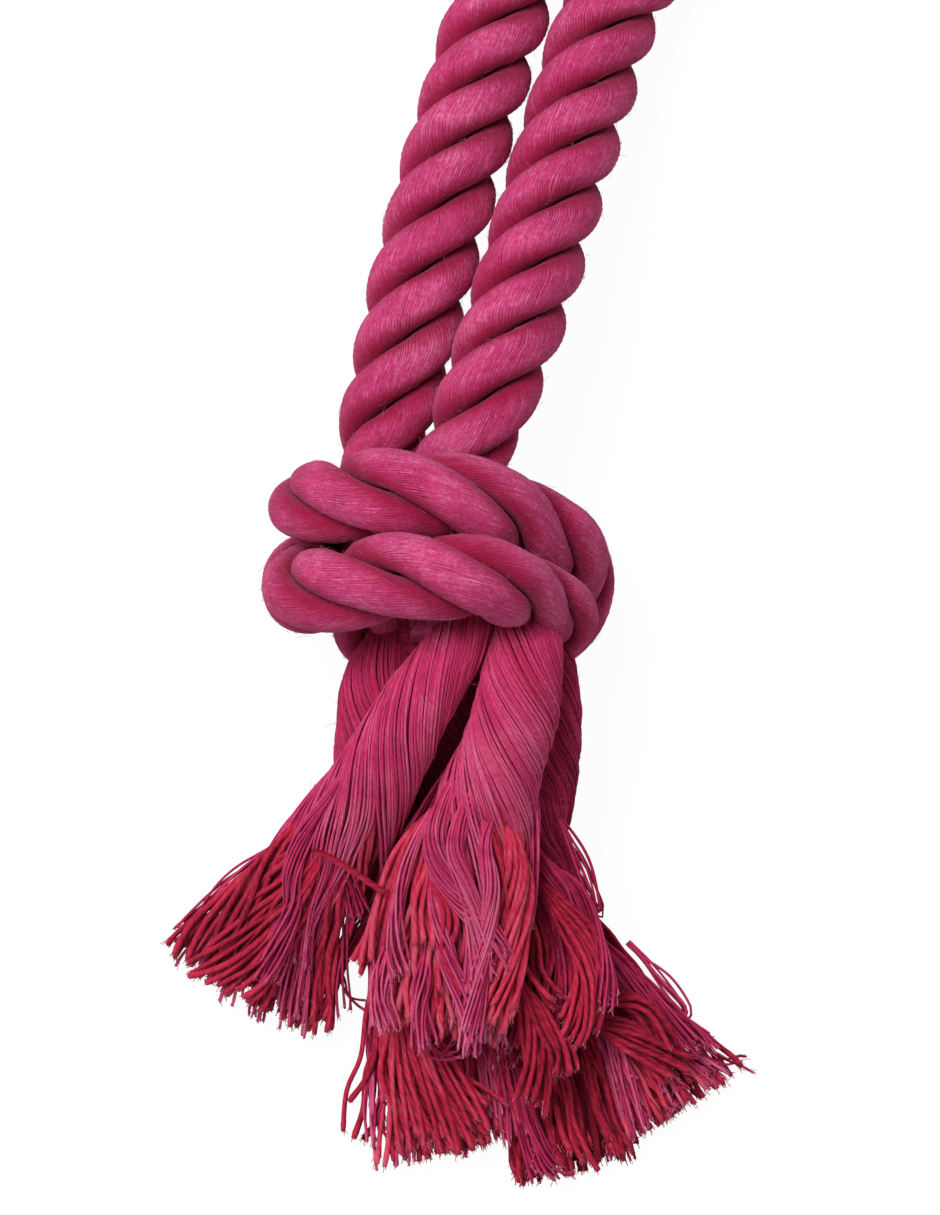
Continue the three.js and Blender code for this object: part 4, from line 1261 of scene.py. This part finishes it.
def make_tufts():
    """The fibres that stand out of every yarn's cut end."""
    parts = []
    for look, lines in enumerate((cover_lines, core_lines)):
        ends = np.concatenate([yarns[:, -4:] for yarns in lines] + loose_ends[look])
        ends = np.repeat(ends, TUFT_FIBRES[look], 0)
        count = len(ends)
        ahead = units(ends[:, -1] - ends[:, 0])
        way = units(ahead + random.normal(0, TUFT_SPREAD, (count, 3)))
        bend = random.normal(0, TUFT_BEND, (count, 1, 3))
        width = (COVER_DIAMETER, CORE_DIAMETER)[look]
        start = ends[:, -1] - TUFT_START * ahead
        start = start + random.normal(0, TUFT_WIDTH, (count, 3)) * width
        share = np.linspace(0, 1, 4)[:, None]
        length = random.uniform(*TUFT_LENGTHS, (count, 1, 1))
        lines = start[:, None] + way[:, None] * length * share + bend * share**2
        lines[..., 2] = np.maximum(lines[..., 2], FLOOR_CLEARANCE)
        part = yarn_tubes(lines, TUFT_DIAMETER / 2, 3)
        part["tone"] = np.repeat(random.uniform(0.25, 0.7, count), len(part["points"]) // count)
        part["look"] = look
        parts.append(part)
    piece = made_mesh("cut_end_tufts", parts, [COVER_COTTON, CORE_COTTON], ["tone"])
    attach(piece, "root")
    return piece


cut_end_tufts = make_tufts()


# Floor and light


def make_floor():
    """A floor that the camera sees white, but for a faint shadow, and all else sees pale grey."""
    mesh = bpy.data.meshes.new("floor")
    corners = [(x * FLOOR_HALF, y * FLOOR_HALF, 0) for x, y in ((-1, -1), (1, -1), (1, 1), (-1, 1))]
    mesh.from_pydata(corners, [], [(0, 1, 2, 3)])
    floor = bpy.data.objects.new("floor", mesh)
    bpy.context.scene.collection.objects.link(floor)
    material = bpy.data.materials.new("white_floor")
    material.use_nodes = True
    nodes = Nodes(material.node_tree)
    shader = material.node_tree.nodes["Principled BSDF"]
    shader.inputs["Base Color"].default_value = (0.8, 0.8, 0.8, 1)
    shader.inputs["Roughness"].default_value = 0.9
    shown = nodes.node("ShaderNodeBsdfDiffuse")
    shown.inputs["Color"].default_value = (FLOOR_SHADOW, FLOOR_SHADOW, FLOOR_SHADOW, 1)
    glow = nodes.node("ShaderNodeEmission")
    glow.inputs["Strength"].default_value = FLOOR_GLOW
    both = nodes.node("ShaderNodeAddShader")
    nodes.join(shown.outputs[0], both.inputs[0])
    nodes.join(glow.outputs[0], both.inputs[1])
    chosen = nodes.node("ShaderNodeMixShader")
    nodes.join(nodes.node("ShaderNodeLightPath").outputs["Is Camera Ray"], chosen.inputs[0])
    nodes.join(shader.outputs[0], chosen.inputs[1])
    nodes.join(both.outputs[0], chosen.inputs[2])
    nodes.join(chosen.outputs[0], material.node_tree.nodes["Material Output"].inputs["Surface"])
    mesh.materials.append(material)


def make_light():
    """The lamp, turned to the toy, and the room's light. The camera sees the room white."""
    data = bpy.data.lights.new("window", "AREA")
    data.shape = "DISK"
    data.size = LAMP_SIZE
    data.energy = LAMP_POWER
    lamp = bpy.data.objects.new("window", data)
    bpy.context.scene.collection.objects.link(lamp)
    lamp.location = LAMP_PLACE
    lamp.rotation_euler = (-mathutils.Vector(LAMP_PLACE)).to_track_quat("-Z", "Y").to_euler()
    world = bpy.data.worlds.new("room")
    bpy.context.scene.world = world
    world.use_nodes = True
    nodes = Nodes(world.node_tree)
    background = world.node_tree.nodes["Background"]
    background.inputs["Color"].default_value = (1, 1, 1, 1)
    seen = nodes.node("ShaderNodeLightPath").outputs["Is Camera Ray"]
    nodes.join(nodes.spread(seen, 0, 1, ROOM_LIGHT, 1.0), background.inputs["Strength"])


make_floor()
make_light()
bpy.context.scene.view_settings.view_transform = "Standard"

# Blender's own first objects, where the script starts with them.
for unused in ("Cube", "Light", "Camera"):
    if unused in bpy.data.objects:
        bpy.data.objects.remove(bpy.data.objects[unused])
